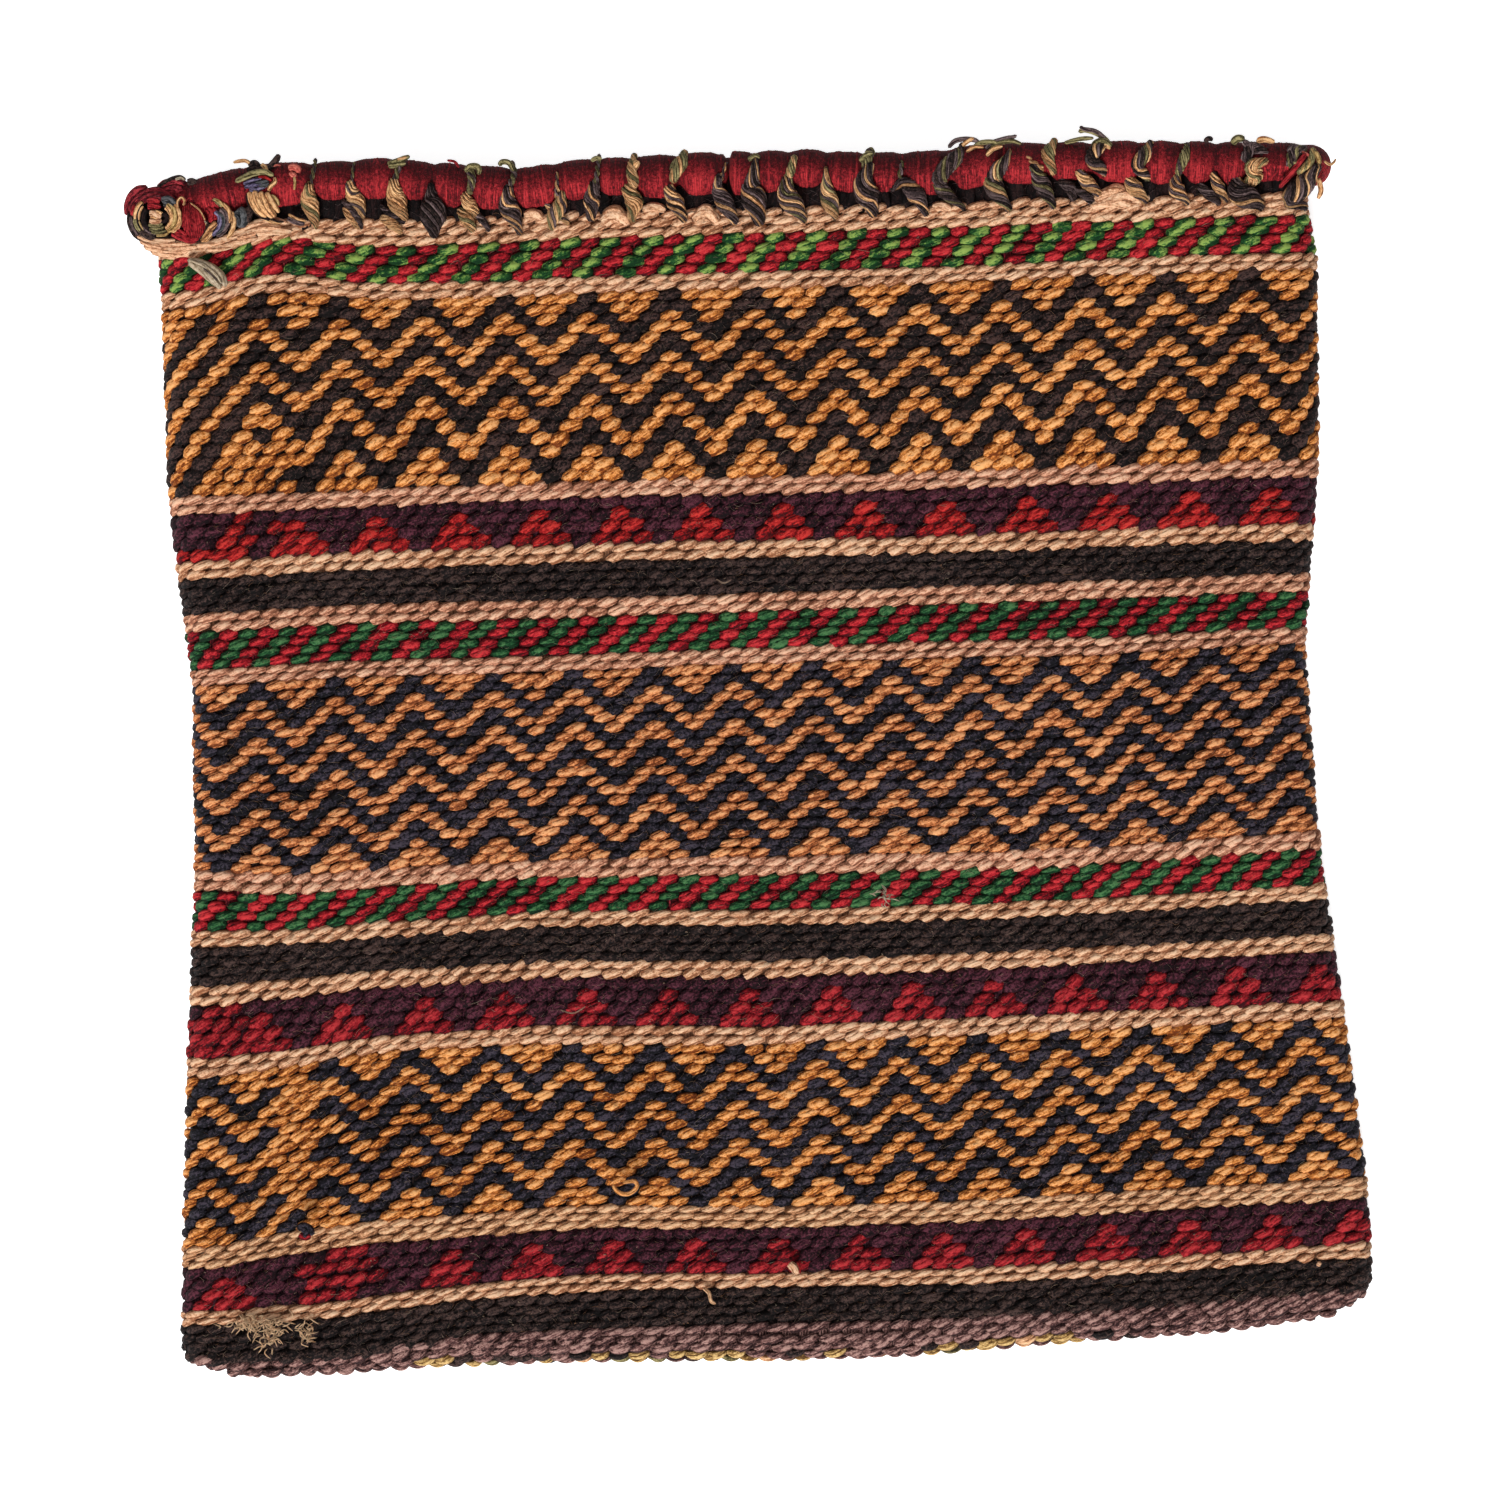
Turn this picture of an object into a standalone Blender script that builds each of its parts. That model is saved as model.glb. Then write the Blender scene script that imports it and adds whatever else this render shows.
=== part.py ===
# A flat twined yarn bag lying on its back, its mouth towards +Y and its front upwards.
# Metres, +Z up. The origin is on the underside of the back, in the middle of the cloth.
#
# The cloth is twined in bands of coloured weft over hidden warps. Front and back are joined
# by soft folds at the sides and the bottom. The mouth has a rolled rim: a core of warp ends,
# wrapped in fine crimson yarn and whipped to the top band with a thicker marled yarn.

import math

import bmesh
import bpy
from mathutils import Vector

# Cloth
WALL = 0.005               # thickness of the twined wall
CLEAR = 0.0003             # gap that touching pieces keep
BODY_WIDTH = 0.416         # widest outline, at the bottom
POCKET_BOTTOM = 0.0055     # space between the walls above the bottom fold
POCKET_MOUTH = 0.017       # space between the walls at the mouth
FOLD_LIP = 0.001           # straight cloth between the lowest band and the bottom fold

# Bands of weft from the mouth to the bottom: name, height, yarn
BANDS = (
    ("cream_1", 0.0085, "cream"),
    ("redgreen_1", 0.0135, "green"),
    ("cream_2", 0.0055, "cream"),
    ("zigzag_1", 0.0660, "amber"),
    ("cream_3", 0.0060, "cream"),
    ("triangles_1", 0.0165, "purple"),
    ("cream_4", 0.0060, "cream"),
    ("black_1", 0.0120, "black"),
    ("cream_5", 0.0050, "cream"),
    ("redgreen_2", 0.0135, "green"),
    ("cream_6", 0.0055, "cream"),
    ("zigzag_2", 0.0655, "amber"),
    ("cream_7", 0.0065, "cream"),
    ("redgreen_3", 0.0130, "green"),
    ("cream_8", 0.0055, "cream"),
    ("black_2", 0.0125, "black"),
    ("cream_9", 0.0050, "cream"),
    ("triangles_2", 0.0185, "purple"),
    ("cream_10", 0.0045, "cream"),
    ("zigzag_3", 0.0575, "amber"),
    ("tan_11", 0.0075, "tan"),
    ("triangles_3", 0.0160, "purple"),
    ("cream_12", 0.0050, "cream"),
    ("black_3", 0.0120, "black"),
)

# Outline of the body: it bends at the top edge of these bands and at the bottom
OUTLINE_BANDS = ("cream_1", "zigzag_1", "cream_3", "zigzag_2", "cream_7", "zigzag_3", "tan_11")
OUTLINE_SHARES = (0.959, 0.966, 0.962, 0.931, 0.940, 0.971, 0.993, 1.0)

# How the rows run out of straight
ROW_TILT = 0.004           # rows near the mouth rise at the left and fall at the right
BASE_DIP = 0.0038          # low rows step down at the left edge
MOUTH_DIP = 0.0075         # the top row steps down under the knob at the left edge
BULGE = 0.0039             # low rows swell up left of the middle
COLUMN_SHARES = (-1.0, -0.7, -0.4, 0.0, 0.5, 1.0)
LEFT_STEP_SHARE = 0.7      # the steps at the left begin here
BASE_DIP_TOP_SHARE = 0.75  # the dip fades out at this height
MOUTH_DIP_FOOT_SHARE = 0.93
BULGE_PLACE_SHARE = -0.4
BULGE_HEIGHT_SHARE = 0.27
BULGE_REACH_SHARE = 0.25

# Warps, one comb in each wall
WARP_THICK = 0.0014
WARP_WIDTH = 0.0060
WARP_COUNT = 15
WARP_HEADING = 0.0050      # bar that joins the warps at the top
SLOT_END = 0.003           # weft left at each end of a band beside the warps
SLOT_OVERRUN = 0.001       # the slot runs out of the lowest band by this

# Rolled rim
RIM_RADIUS = 0.006         # the roll between two whip stitches
PINCH_RADIUS = 0.0036      # the roll under a whip stitch
CORE_RADIUS = 0.0022
RIM_GAP = 0.0072           # open gap between the top band and the roll
FRONT_RIM_DEPTH = 0.001    # roll centre below the front's outer face
TURN_REACH = 0.0085        # the roll ends this far inside the right edge, where it turns back
PINCH_FLAT = 0.0015        # half length of the pinched stretch
BULGE_ROOM_SHARE = 0.28    # of the stitch pitch, from a pinch to the full roll
TURN_END = 0.001           # straight end of the turn, in line with the front roll
TURN_STEPS = 6

# Whip stitches
WHIP_RADIUS = 0.0011
WHIP_COUNT = 24
WHIP_LEFT_ROOM = 0.030     # roll without stitches beside the knob
WHIP_RIGHT_ROOM = 0.010
HOLE_INSET = 0.0026        # stitch holes below the top edge
HOLE_OVERRUN = 0.002
BACK_LIFT = 0.004          # the back's top band rises to its roll

# Curled end of the roll, at the left of the mouth
KNOB_RADIUS = 0.0105
KNOB_NECK_RADIUS = 0.0075
KNOB_TOP = 0.033           # above the ground
KNOB_INSET = 0.001         # its axis from the left edge of the mouth
KNOB_DROP = 0.0072         # its axis below the roll's
KNOB_CROWN = 0.003
CROWN_RING_SHARES = (0.6, 0.3)  # a ring of the crown: share of the radius, of the drop
KNOB_SIDES = 20
KNOB_LIP = 0.006           # depth of the cut end
KNOB_END_REACH = 0.005     # the back roll ends this far beyond the knob's axis

ARC_STEPS = 8
CORNER_STEPS = 4
WELD_SHARE = 0.01          # of the clearance: points nearer than this are one

# Yarn colours as seen, sRGB
YARNS = {
    "cream": (0.80, 0.63, 0.45),
    "green": (0.10, 0.35, 0.20),
    "amber": (0.78, 0.47, 0.20),
    "purple": (0.22, 0.10, 0.18),
    "black": (0.12, 0.11, 0.11),
    "tan": (0.70, 0.55, 0.37),
    "mauve": (0.37, 0.25, 0.27),
    "crimson": (0.50, 0.06, 0.12),
    "marled": (0.50, 0.38, 0.28),
    "undyed": (0.62, 0.52, 0.40),
}
YARN_ROUGHNESS = 0.9

# Worked out from the sizes above
BASE_ROW = len(BANDS)
CLOTH_LENGTH = sum(height for _, height, _ in BANDS)
ROW_EDGES = [CLOTH_LENGTH / 2]
for _, band_height, _ in BANDS:
    ROW_EDGES.append(ROW_EDGES[-1] - band_height)
MOUTH_Y = ROW_EDGES[0]
BASE_Y = ROW_EDGES[BASE_ROW]
SLOPE = math.atan((POCKET_MOUTH - POCKET_BOTTOM) / CLOTH_LENGTH)
BASE_RADIUS = WALL + POCKET_BOTTOM / 2
WHIP_REACH = PINCH_RADIUS + CLEAR + WHIP_RADIUS
BACK_RIM_DEPTH = max(RIM_RADIUS, WHIP_REACH + WHIP_RADIUS) + CLEAR
TOP_BAND = BANDS[0][1]


def clear_scene():
    for item in list(bpy.data.objects):
        bpy.data.objects.remove(item, do_unlink=True)


def collection(name):
    group = bpy.data.collections.new(name)
    bpy.context.scene.collection.children.link(group)
    return group


def linear(value):
    if value <= 0.04045:
        return value / 12.92
    return ((value + 0.055) / 1.055) ** 2.4


def yarn_material(node, yarn):
    material = bpy.data.materials.new(node + "_yarn")
    material.use_nodes = True
    shader = material.node_tree.nodes["Principled BSDF"]
    shader.inputs["Base Color"].default_value = [linear(part) for part in YARNS[yarn]] + [1.0]
    shader.inputs["Roughness"].default_value = YARN_ROUGHNESS
    shader.inputs["Metallic"].default_value = 0.0
    return material


def add_piece(node, mesh, yarn, parent):
    piece = bpy.data.objects.new(node, mesh)
    mesh.materials.clear()
    mesh.materials.append(yarn_material(node, yarn))
    bag.objects.link(piece)
    piece.parent = parent
    return piece


def add_cutter(name, mesh, parent):
    cutter = bpy.data.objects.new(name, mesh)
    cutters.objects.link(cutter)
    cutter.parent = parent
    cutter.hide_render = True
    cutter.display_type = "WIRE"
    return cutter


def cut(piece, cutter):
    step = piece.modifiers.new("cut_" + cutter.name, "BOOLEAN")
    step.operation = "DIFFERENCE"
    step.solver = "EXACT"
    step.object = cutter


# Shape of the cloth

def height_share(row):
    return (ROW_EDGES[row] - BASE_Y) / CLOTH_LENGTH


def row_y(row, share):
    """Height of a band edge at a share of the half width, -1 at the left."""
    height = height_share(row)
    left = min(max((-share - LEFT_STEP_SHARE) / (1 - LEFT_STEP_SHARE), 0), 1)
    low = max(1 - height / BASE_DIP_TOP_SHARE, 0)
    high = max((height - MOUTH_DIP_FOOT_SHARE) / (1 - MOUTH_DIP_FOOT_SHARE), 0)
    side = max(1 - abs((share - BULGE_PLACE_SHARE) / BULGE_PLACE_SHARE), 0)
    level = max(1 - abs(height - BULGE_HEIGHT_SHARE) / BULGE_REACH_SHARE, 0)
    tilt = -ROW_TILT * share * height ** 2
    dip = left * (BASE_DIP * low + MOUTH_DIP * high ** 2)
    return ROW_EDGES[row] + tilt - dip + BULGE * side * level


def width_rows():
    """Band edges where the outline bends, from the mouth down."""
    rows = [row for row, band in enumerate(BANDS) if band[0] in OUTLINE_BANDS]
    return rows + [BASE_ROW]


def outline_half(row):
    """Half width of the bag at a band edge, straight between the outline's bends."""
    rows = width_rows()
    place = 0
    while rows[place + 1] < row:
        place += 1
    above, below = ROW_EDGES[rows[place]], ROW_EDGES[rows[place + 1]]
    wide, next_wide = OUTLINE_SHARES[place], OUTLINE_SHARES[place + 1]
    part = (ROW_EDGES[row] - above) / (below - above)
    return BODY_WIDTH / 2 * (wide + (next_wide - wide) * part)


def fold_radius(y):
    """Outer radius of the side folds: both walls and half the pocket."""
    return BASE_RADIUS + (y - BASE_Y) * math.tan(SLOPE) / 2


def panel_half(row, share):
    """Half width of a flat wall at a band edge, inside the side fold."""
    return outline_half(row) - fold_radius(row_y(row, share)) - CLEAR


def edge_y(row, x):
    """Height of a band edge at a distance from the middle, straight between its columns."""
    share = x / panel_half(row, 1 if x > 0 else -1)
    for left, right in zip(COLUMN_SHARES, COLUMN_SHARES[1:]):
        if share <= right:
            break
    part = (share - left) / (right - left)
    return row_y(row, left) * (1 - part) + row_y(row, right) * part


def panel_point(side, x, y, depth):
    """A point of a wall in its own frame; depth runs inwards from the outer face."""
    if side == "front":
        return Vector((x, (y - BASE_Y) / math.cos(SLOPE), -depth))
    return Vector((x, y, depth))


def rim_y(x):
    share = x / panel_half(0, 1)
    return MOUTH_Y + RIM_GAP + RIM_RADIUS - ROW_TILT * share


# Bands

def wall_sheet(side, rows, inset, depths, lift):
    """A flat closed sheet between band edges, thickened from one depth to another."""
    top_row, low_row = rows[0], rows[-1]
    sheet = bmesh.new()
    bmesh.ops.create_grid(sheet, x_segments=len(COLUMN_SHARES) - 1, y_segments=len(rows) - 1, size=1)
    for vert in sheet.verts:
        column = round((vert.co.x + 1) / 2 * (len(COLUMN_SHARES) - 1))
        line = round((1 - vert.co.y) / 2 * (len(rows) - 1))
        share = COLUMN_SHARES[column]
        row = rows[line]
        end = 1 if share > 0 else -1
        y = row_y(row, share)
        y += {top_row: -inset[1], low_row: inset[1]}.get(row, 0)
        x = share * (panel_half(row, end) - inset[0])
        rise = lift if row == top_row else 0
        vert.co = panel_point(side, x, y, depths[0] + rise)
    thick = panel_point(side, 0, 0, depths[1]) - panel_point(side, 0, 0, depths[0])
    made = bmesh.ops.extrude_face_region(sheet, geom=sheet.faces[:])
    fresh = [item for item in made["geom"] if isinstance(item, bmesh.types.BMVert)]
    bmesh.ops.translate(sheet, verts=fresh, vec=thick)
    bmesh.ops.recalc_face_normals(sheet, faces=sheet.faces[:])
    mesh = bpy.data.meshes.new(side + "_wall")
    sheet.to_mesh(mesh)
    sheet.free()
    return mesh


def make_slot_cutter(side, parent):
    """The space for the warps, right through every band but the top one."""
    side_room = WARP_THICK / 2 + CLEAR
    depths = (WALL / 2 - side_room, WALL / 2 + side_room)
    mesh = wall_sheet(side, width_rows(), (SLOT_END, -SLOT_OVERRUN), depths, 0)
    return add_cutter(side + "_slot_cutter", mesh, parent)


def make_bands(side, parent, slot, holes):
    for row, (name, _, yarn) in enumerate(BANDS):
        lift = top_lift(side) if row == 0 else 0
        mesh = wall_sheet(side, (row, row + 1), (0, CLEAR / 2), (0, WALL), lift)
        piece = add_piece(f"{side}_{name}", mesh, yarn, parent)
        cut(piece, holes if row == 0 else slot)


def make_warps(side, parent):
    """All warps of a wall as one comb that hangs from a heading bar."""
    top_row = 1
    rows = [BASE_ROW] + [row for row in reversed(width_rows()) if top_row < row < BASE_ROW] + [top_row]
    room = SLOT_END + CLEAR + WARP_WIDTH / 2
    outline = []
    for number in range(WARP_COUNT):
        share = -1 + 2 * number / (WARP_COUNT - 1)
        end = 1 if share > 0 else -1
        spine = []
        for row in rows:
            x = share * (panel_half(row, end) - room)
            spine.append((x, edge_y(row, x)))
        (foot_x, _), (head_x, head_y) = spine[0], spine[-1]
        sides = (foot_x - WARP_WIDTH / 2, foot_x + WARP_WIDTH / 2)
        spine[0] = (foot_x, max(edge_y(BASE_ROW, x) for x in sides) + CLEAR)
        spine[-1] = (head_x, head_y - CLEAR - WARP_HEADING)
        outline += [(x - WARP_WIDTH / 2, y) for x, y in reversed(spine)]
        outline += [(x + WARP_WIDTH / 2, y) for x, y in spine]
    for share in reversed(COLUMN_SHARES):
        end = 1 if share > 0 else -1
        x = share * (panel_half(top_row, end) - SLOT_END - CLEAR)
        outline.append((x, edge_y(top_row, x) - CLEAR))
    curve = bpy.data.curves.new(side + "_warps", "CURVE")
    curve.dimensions = "2D"
    curve.fill_mode = "BOTH"
    curve.extrude = WARP_THICK / 2
    spline = curve.splines.new("POLY")
    spline.points.add(len(outline) - 1)
    for point, (x, y) in zip(spline.points, outline):
        flat = panel_point(side, x, y, 0)
        point.co = (flat.x, flat.y, 0, 1)
    spline.use_cyclic_u = True
    curve.materials.append(yarn_material(side + "_warps", "undyed"))
    piece = bpy.data.objects.new(side + "_warps", curve)
    bag.objects.link(piece)
    piece.parent = parent
    piece.location.z = panel_point(side, 0, 0, WALL / 2).z


# Folds

def fold_section(centre, outward, radius, lips):
    """C-shaped section of folded cloth: round outside, open towards the pocket."""
    outer = []
    inner = []
    for step in range(ARC_STEPS + 1):
        turn = math.pi * (0.5 - step / ARC_STEPS)
        ray = outward * math.cos(turn) + Vector((0, 0, math.sin(turn)))
        outer.append(centre + outward * CLEAR + ray * radius)
        inner.insert(0, centre + outward * CLEAR + ray * (radius - WALL))
    if lips:
        outer = [outer[0] - outward * lips] + outer + [outer[-1] - outward * lips]
        inner = [inner[0] - outward * lips] + inner + [inner[-1] - outward * lips]
    return outer + inner


def loft(node, sections, yarn):
    body = bmesh.new()
    rings = [[body.verts.new(point) for point in section] for section in sections]
    for ring, after in zip(rings, rings[1:]):
        for place in range(len(ring)):
            follow = (place + 1) % len(ring)
            body.faces.new((ring[place], ring[follow], after[follow], after[place]))
    body.faces.new(rings[0])
    body.faces.new(rings[-1])
    bmesh.ops.recalc_face_normals(body, faces=body.faces[:])
    mesh = bpy.data.meshes.new(node)
    body.to_mesh(mesh)
    body.free()
    return add_piece(node, mesh, yarn, None)


def fold_line_y():
    """The lowest point of the lowest band edge, less the straight lip."""
    return min(row_y(BASE_ROW, share) for share in COLUMN_SHARES) - FOLD_LIP


def corner_x():
    return outline_half(BASE_ROW) - BASE_RADIUS - CLEAR


def make_side_fold(node, end):
    """A side fold from the mouth down and round the bottom corner."""
    sections = []
    for row in width_rows():
        y = row_y(row, end)
        radius = fold_radius(y)
        centre = Vector((end * (outline_half(row) - radius - CLEAR), y, radius))
        sections.append(fold_section(centre, Vector((end, 0, 0)), radius, 0))
    corner = Vector((end * corner_x(), fold_line_y(), BASE_RADIUS))
    for step in range(CORNER_STEPS + 1):
        turn = math.pi / 2 * step / CORNER_STEPS
        outward = Vector((end * math.cos(turn), -math.sin(turn), 0))
        sections.append(fold_section(corner, outward, BASE_RADIUS, 0))
    loft(node, sections, "undyed")


def make_bottom_fold():
    """The bottom fold of mauve and mixed yarn, up to the lowest band on both walls."""
    sections = []
    for share in COLUMN_SHARES:
        x = share * (corner_x() - CLEAR)
        lips = row_y(BASE_ROW, share) - CLEAR / 2 - fold_line_y() + CLEAR
        centre = Vector((x, fold_line_y(), BASE_RADIUS))
        sections.append(fold_section(centre, Vector((0, -1, 0)), BASE_RADIUS, lips))
    loft("bottom_fold", sections, "mauve")


# Rim

def tube_mesh(points, radii, resolution):
    """A closed tube through points in a wall's frame, its caps welded."""
    curve = bpy.data.curves.new("tube", "CURVE")
    curve.dimensions = "3D"
    curve.bevel_depth = 1
    curve.bevel_resolution = resolution
    curve.use_fill_caps = True
    spline = curve.splines.new("POLY")
    spline.points.add(len(points) - 1)
    for point, place, radius in zip(spline.points, points, radii):
        point.co = (*place, 1)
        point.radius = radius
    maker = bpy.data.objects.new("tube", curve)
    bpy.context.scene.collection.objects.link(maker)
    bpy.context.view_layer.update()
    graph = bpy.context.evaluated_depsgraph_get()
    mesh = bpy.data.meshes.new_from_object(maker.evaluated_get(graph))
    bpy.data.objects.remove(maker, do_unlink=True)
    weld = bmesh.new()
    weld.from_mesh(mesh)
    bmesh.ops.remove_doubles(weld, verts=weld.verts[:], dist=CLEAR * WELD_SHARE)
    bmesh.ops.recalc_face_normals(weld, faces=weld.faces[:])
    weld.to_mesh(mesh)
    weld.free()
    return mesh


def knob_x():
    return -outline_half(0) + KNOB_INSET


def front_rim_left():
    return knob_x() + KNOB_RADIUS + CLEAR


def rim_right():
    return outline_half(0) - TURN_REACH


def stitch_places():
    first = front_rim_left() + WHIP_LEFT_ROOM
    pitch = (rim_right() - WHIP_RIGHT_ROOM - first) / (WHIP_COUNT - 1)
    return [first + pitch * number for number in range(WHIP_COUNT)], pitch


def rim_depth(side):
    return FRONT_RIM_DEPTH if side == "front" else BACK_RIM_DEPTH


def rim_point(side, x):
    return panel_point(side, x, rim_y(x), rim_depth(side))


def make_rim(side, parent):
    """The wrapped roll, pinched under each whip stitch, and its core."""
    places, pitch = stitch_places()
    left = front_rim_left() if side == "front" else knob_x() - KNOB_END_REACH
    right = rim_right()
    room = pitch * BULGE_ROOM_SHARE
    along = [(left, RIM_RADIUS)]
    for x in places:
        along += [(x - room, RIM_RADIUS), (x - PINCH_FLAT, PINCH_RADIUS)]
        along += [(x + PINCH_FLAT, PINCH_RADIUS), (x + room, RIM_RADIUS)]
    along.append((right - CLEAR, RIM_RADIUS))
    points = [rim_point(side, x) for x, _ in along]
    radii = [radius for _, radius in along]
    if side == "back":
        add_rim_turn(points, radii)
    wrap = add_piece(side + "_rim_wrap", tube_mesh(points, radii, 2), "crimson", parent)
    for polygon in wrap.data.polygons:
        polygon.use_smooth = True
    overrun = CLEAR if side == "back" else -RIM_RADIUS
    ends = [rim_point(side, left - RIM_RADIUS), rim_point(side, right - CLEAR - overrun)]
    bore = tube_mesh(ends, [CORE_RADIUS + CLEAR] * 2, 3)
    cut(wrap, add_cutter(side + "_bore_cutter", bore, parent))
    ends = [rim_point(side, left), rim_point(side, right - 2 * CLEAR - max(overrun, 0))]
    core = add_piece(side + "_rim_core", tube_mesh(ends, [CORE_RADIUS] * 2, 3), "undyed", parent)
    for polygon in core.data.polygons:
        polygon.use_smooth = True


def add_rim_turn(points, radii):
    """The back roll turns up at the right end and meets the front roll's end."""
    right = rim_right()
    low = rim_point("back", right + TURN_END)
    high = hinge.matrix_world @ rim_point("front", right + TURN_END)
    middle = (low + high) / 2
    radius = (high - low).length / 2
    down = (low - middle).normalized()
    for step in range(TURN_STEPS + 1):
        turn = math.pi * step / TURN_STEPS
        points.append(middle + down * radius * math.cos(turn) + Vector((radius * math.sin(turn), 0, 0)))
        radii.append(RIM_RADIUS)
    points.append(hinge.matrix_world @ rim_point("front", right))
    radii.append(RIM_RADIUS)


def top_lift(side):
    return BACK_LIFT if side == "back" else 0


def hole_depth(side):
    """Depth of the outer face at the stitch holes."""
    return top_lift(side) * (1 - HOLE_INSET / TOP_BAND)


def hole_y(x):
    return edge_y(0, x) - HOLE_INSET


def make_hole_cutter(side, parent):
    """Square holes through the top band, one for each whip stitch."""
    holes = bmesh.new()
    size = 2 * (WHIP_RADIUS + CLEAR)
    for x in stitch_places()[0]:
        made = bmesh.ops.create_cube(holes, size=1)
        length = WALL + BACK_LIFT + 2 * HOLE_OVERRUN
        bmesh.ops.scale(holes, verts=made["verts"], vec=(size, size, length))
        centre = panel_point(side, x, hole_y(x), hole_depth(side) + WALL / 2)
        bmesh.ops.translate(holes, verts=made["verts"], vec=centre)
    mesh = bpy.data.meshes.new(side + "_holes")
    holes.to_mesh(mesh)
    holes.free()
    return add_cutter(side + "_hole_cutter", mesh, parent)


def make_whip(side, parent):
    """One yarn over the roll and through the top band, stitch after stitch."""
    places, _ = stitch_places()
    turns = (125, 90, 45, 0, -45, -90, -125)
    past = CLEAR + WHIP_RADIUS
    points = []
    for x in places:
        centre_y = rim_y(x)
        for turn in turns:
            angle = math.radians(turn)
            y = centre_y + WHIP_REACH * math.cos(angle)
            depth = rim_depth(side) + WHIP_REACH * math.sin(angle)
            points.append(panel_point(side, x, y, depth))
        points.append(panel_point(side, x, hole_y(x), hole_depth(side) - past))
        points.append(panel_point(side, x, hole_y(x), top_lift(side) + WALL + past))
    mesh = tube_mesh(points, [WHIP_RADIUS] * len(points), 0)
    piece = add_piece(side + "_whip_stitches", mesh, "marled", parent)
    for polygon in piece.data.polygons:
        polygon.use_smooth = True


def make_knob():
    """The cut end of the roll, curled up to face the front."""
    foot = BACK_RIM_DEPTH + RIM_RADIUS + CLEAR
    across, drop = CROWN_RING_SHARES
    profile = (
        (0, KNOB_TOP),
        (KNOB_RADIUS * across, KNOB_TOP - KNOB_CROWN * drop),
        (KNOB_RADIUS, KNOB_TOP - KNOB_CROWN),
        (KNOB_RADIUS, KNOB_TOP - KNOB_CROWN - KNOB_LIP),
        (KNOB_NECK_RADIUS, KNOB_TOP - KNOB_CROWN - 2 * KNOB_LIP),
        (KNOB_NECK_RADIUS, foot),
        (0, foot),
    )
    mesh = bpy.data.meshes.new("rim_end_knob")
    line = bmesh.new()
    verts = [line.verts.new((radius, 0, height)) for radius, height in profile]
    for first, second in zip(verts, verts[1:]):
        line.edges.new((first, second))
    line.to_mesh(mesh)
    line.free()
    knob = add_piece("rim_end_knob", mesh, "marled", None)
    knob.location = (knob_x(), rim_y(knob_x()) - KNOB_DROP, 0)
    turned = knob.modifiers.new("turned", "SCREW")
    turned.steps = KNOB_SIDES
    turned.render_steps = KNOB_SIDES
    turned.use_merge_vertices = True
    turned.merge_threshold = CLEAR * WELD_SHARE
    turned.use_smooth_shade = True


clear_scene()
bag = collection("yarn_bag")
cutters = collection("cutters")

# The front opens about the line where its lowest band meets the bottom fold
hinge = bpy.data.objects.new("front_hinge", None)
hinge.location = (0, BASE_Y, 2 * BASE_RADIUS)
hinge.rotation_euler.x = SLOPE
bag.objects.link(hinge)
bpy.context.view_layer.update()

for wall_side, wall_parent in (("back", None), ("front", hinge)):
    warp_slot = make_slot_cutter(wall_side, wall_parent)
    stitch_holes = make_hole_cutter(wall_side, wall_parent)
    make_bands(wall_side, wall_parent, warp_slot, stitch_holes)
    make_warps(wall_side, wall_parent)
    make_rim(wall_side, wall_parent)
    make_whip(wall_side, wall_parent)

make_side_fold("left_side_fold", -1)
make_side_fold("right_side_fold", 1)
make_bottom_fold()
make_knob()
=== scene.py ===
import math
from collections import namedtuple

import bmesh
import bpy
import numpy as np
from mathutils import Matrix, Vector


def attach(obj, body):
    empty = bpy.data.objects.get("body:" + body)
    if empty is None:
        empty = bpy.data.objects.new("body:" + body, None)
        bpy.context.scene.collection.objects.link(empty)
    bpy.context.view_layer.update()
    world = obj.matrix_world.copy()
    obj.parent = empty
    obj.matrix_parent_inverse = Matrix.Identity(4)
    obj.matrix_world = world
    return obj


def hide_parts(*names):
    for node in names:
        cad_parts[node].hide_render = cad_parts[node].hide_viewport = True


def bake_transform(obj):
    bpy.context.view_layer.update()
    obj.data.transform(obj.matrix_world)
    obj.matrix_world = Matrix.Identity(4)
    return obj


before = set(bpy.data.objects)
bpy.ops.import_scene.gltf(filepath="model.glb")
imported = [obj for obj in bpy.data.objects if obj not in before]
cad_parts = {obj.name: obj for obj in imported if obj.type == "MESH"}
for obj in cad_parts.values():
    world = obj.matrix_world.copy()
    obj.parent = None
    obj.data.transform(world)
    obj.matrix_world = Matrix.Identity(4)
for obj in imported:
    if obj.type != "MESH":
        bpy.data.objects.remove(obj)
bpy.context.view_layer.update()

# Yarn bag: the looks. Metres, +Z up, X to the right of the photograph, Y towards the mouth.
# The cloth is laid stitch by stitch on rings that run round the whole bag: along the front,
# round the right fold, along the back and round the left fold.

mm = 0.001
tau = 2 * math.pi
chance = np.random.default_rng(26)


# Cloth sizes, as in the CAD

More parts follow.
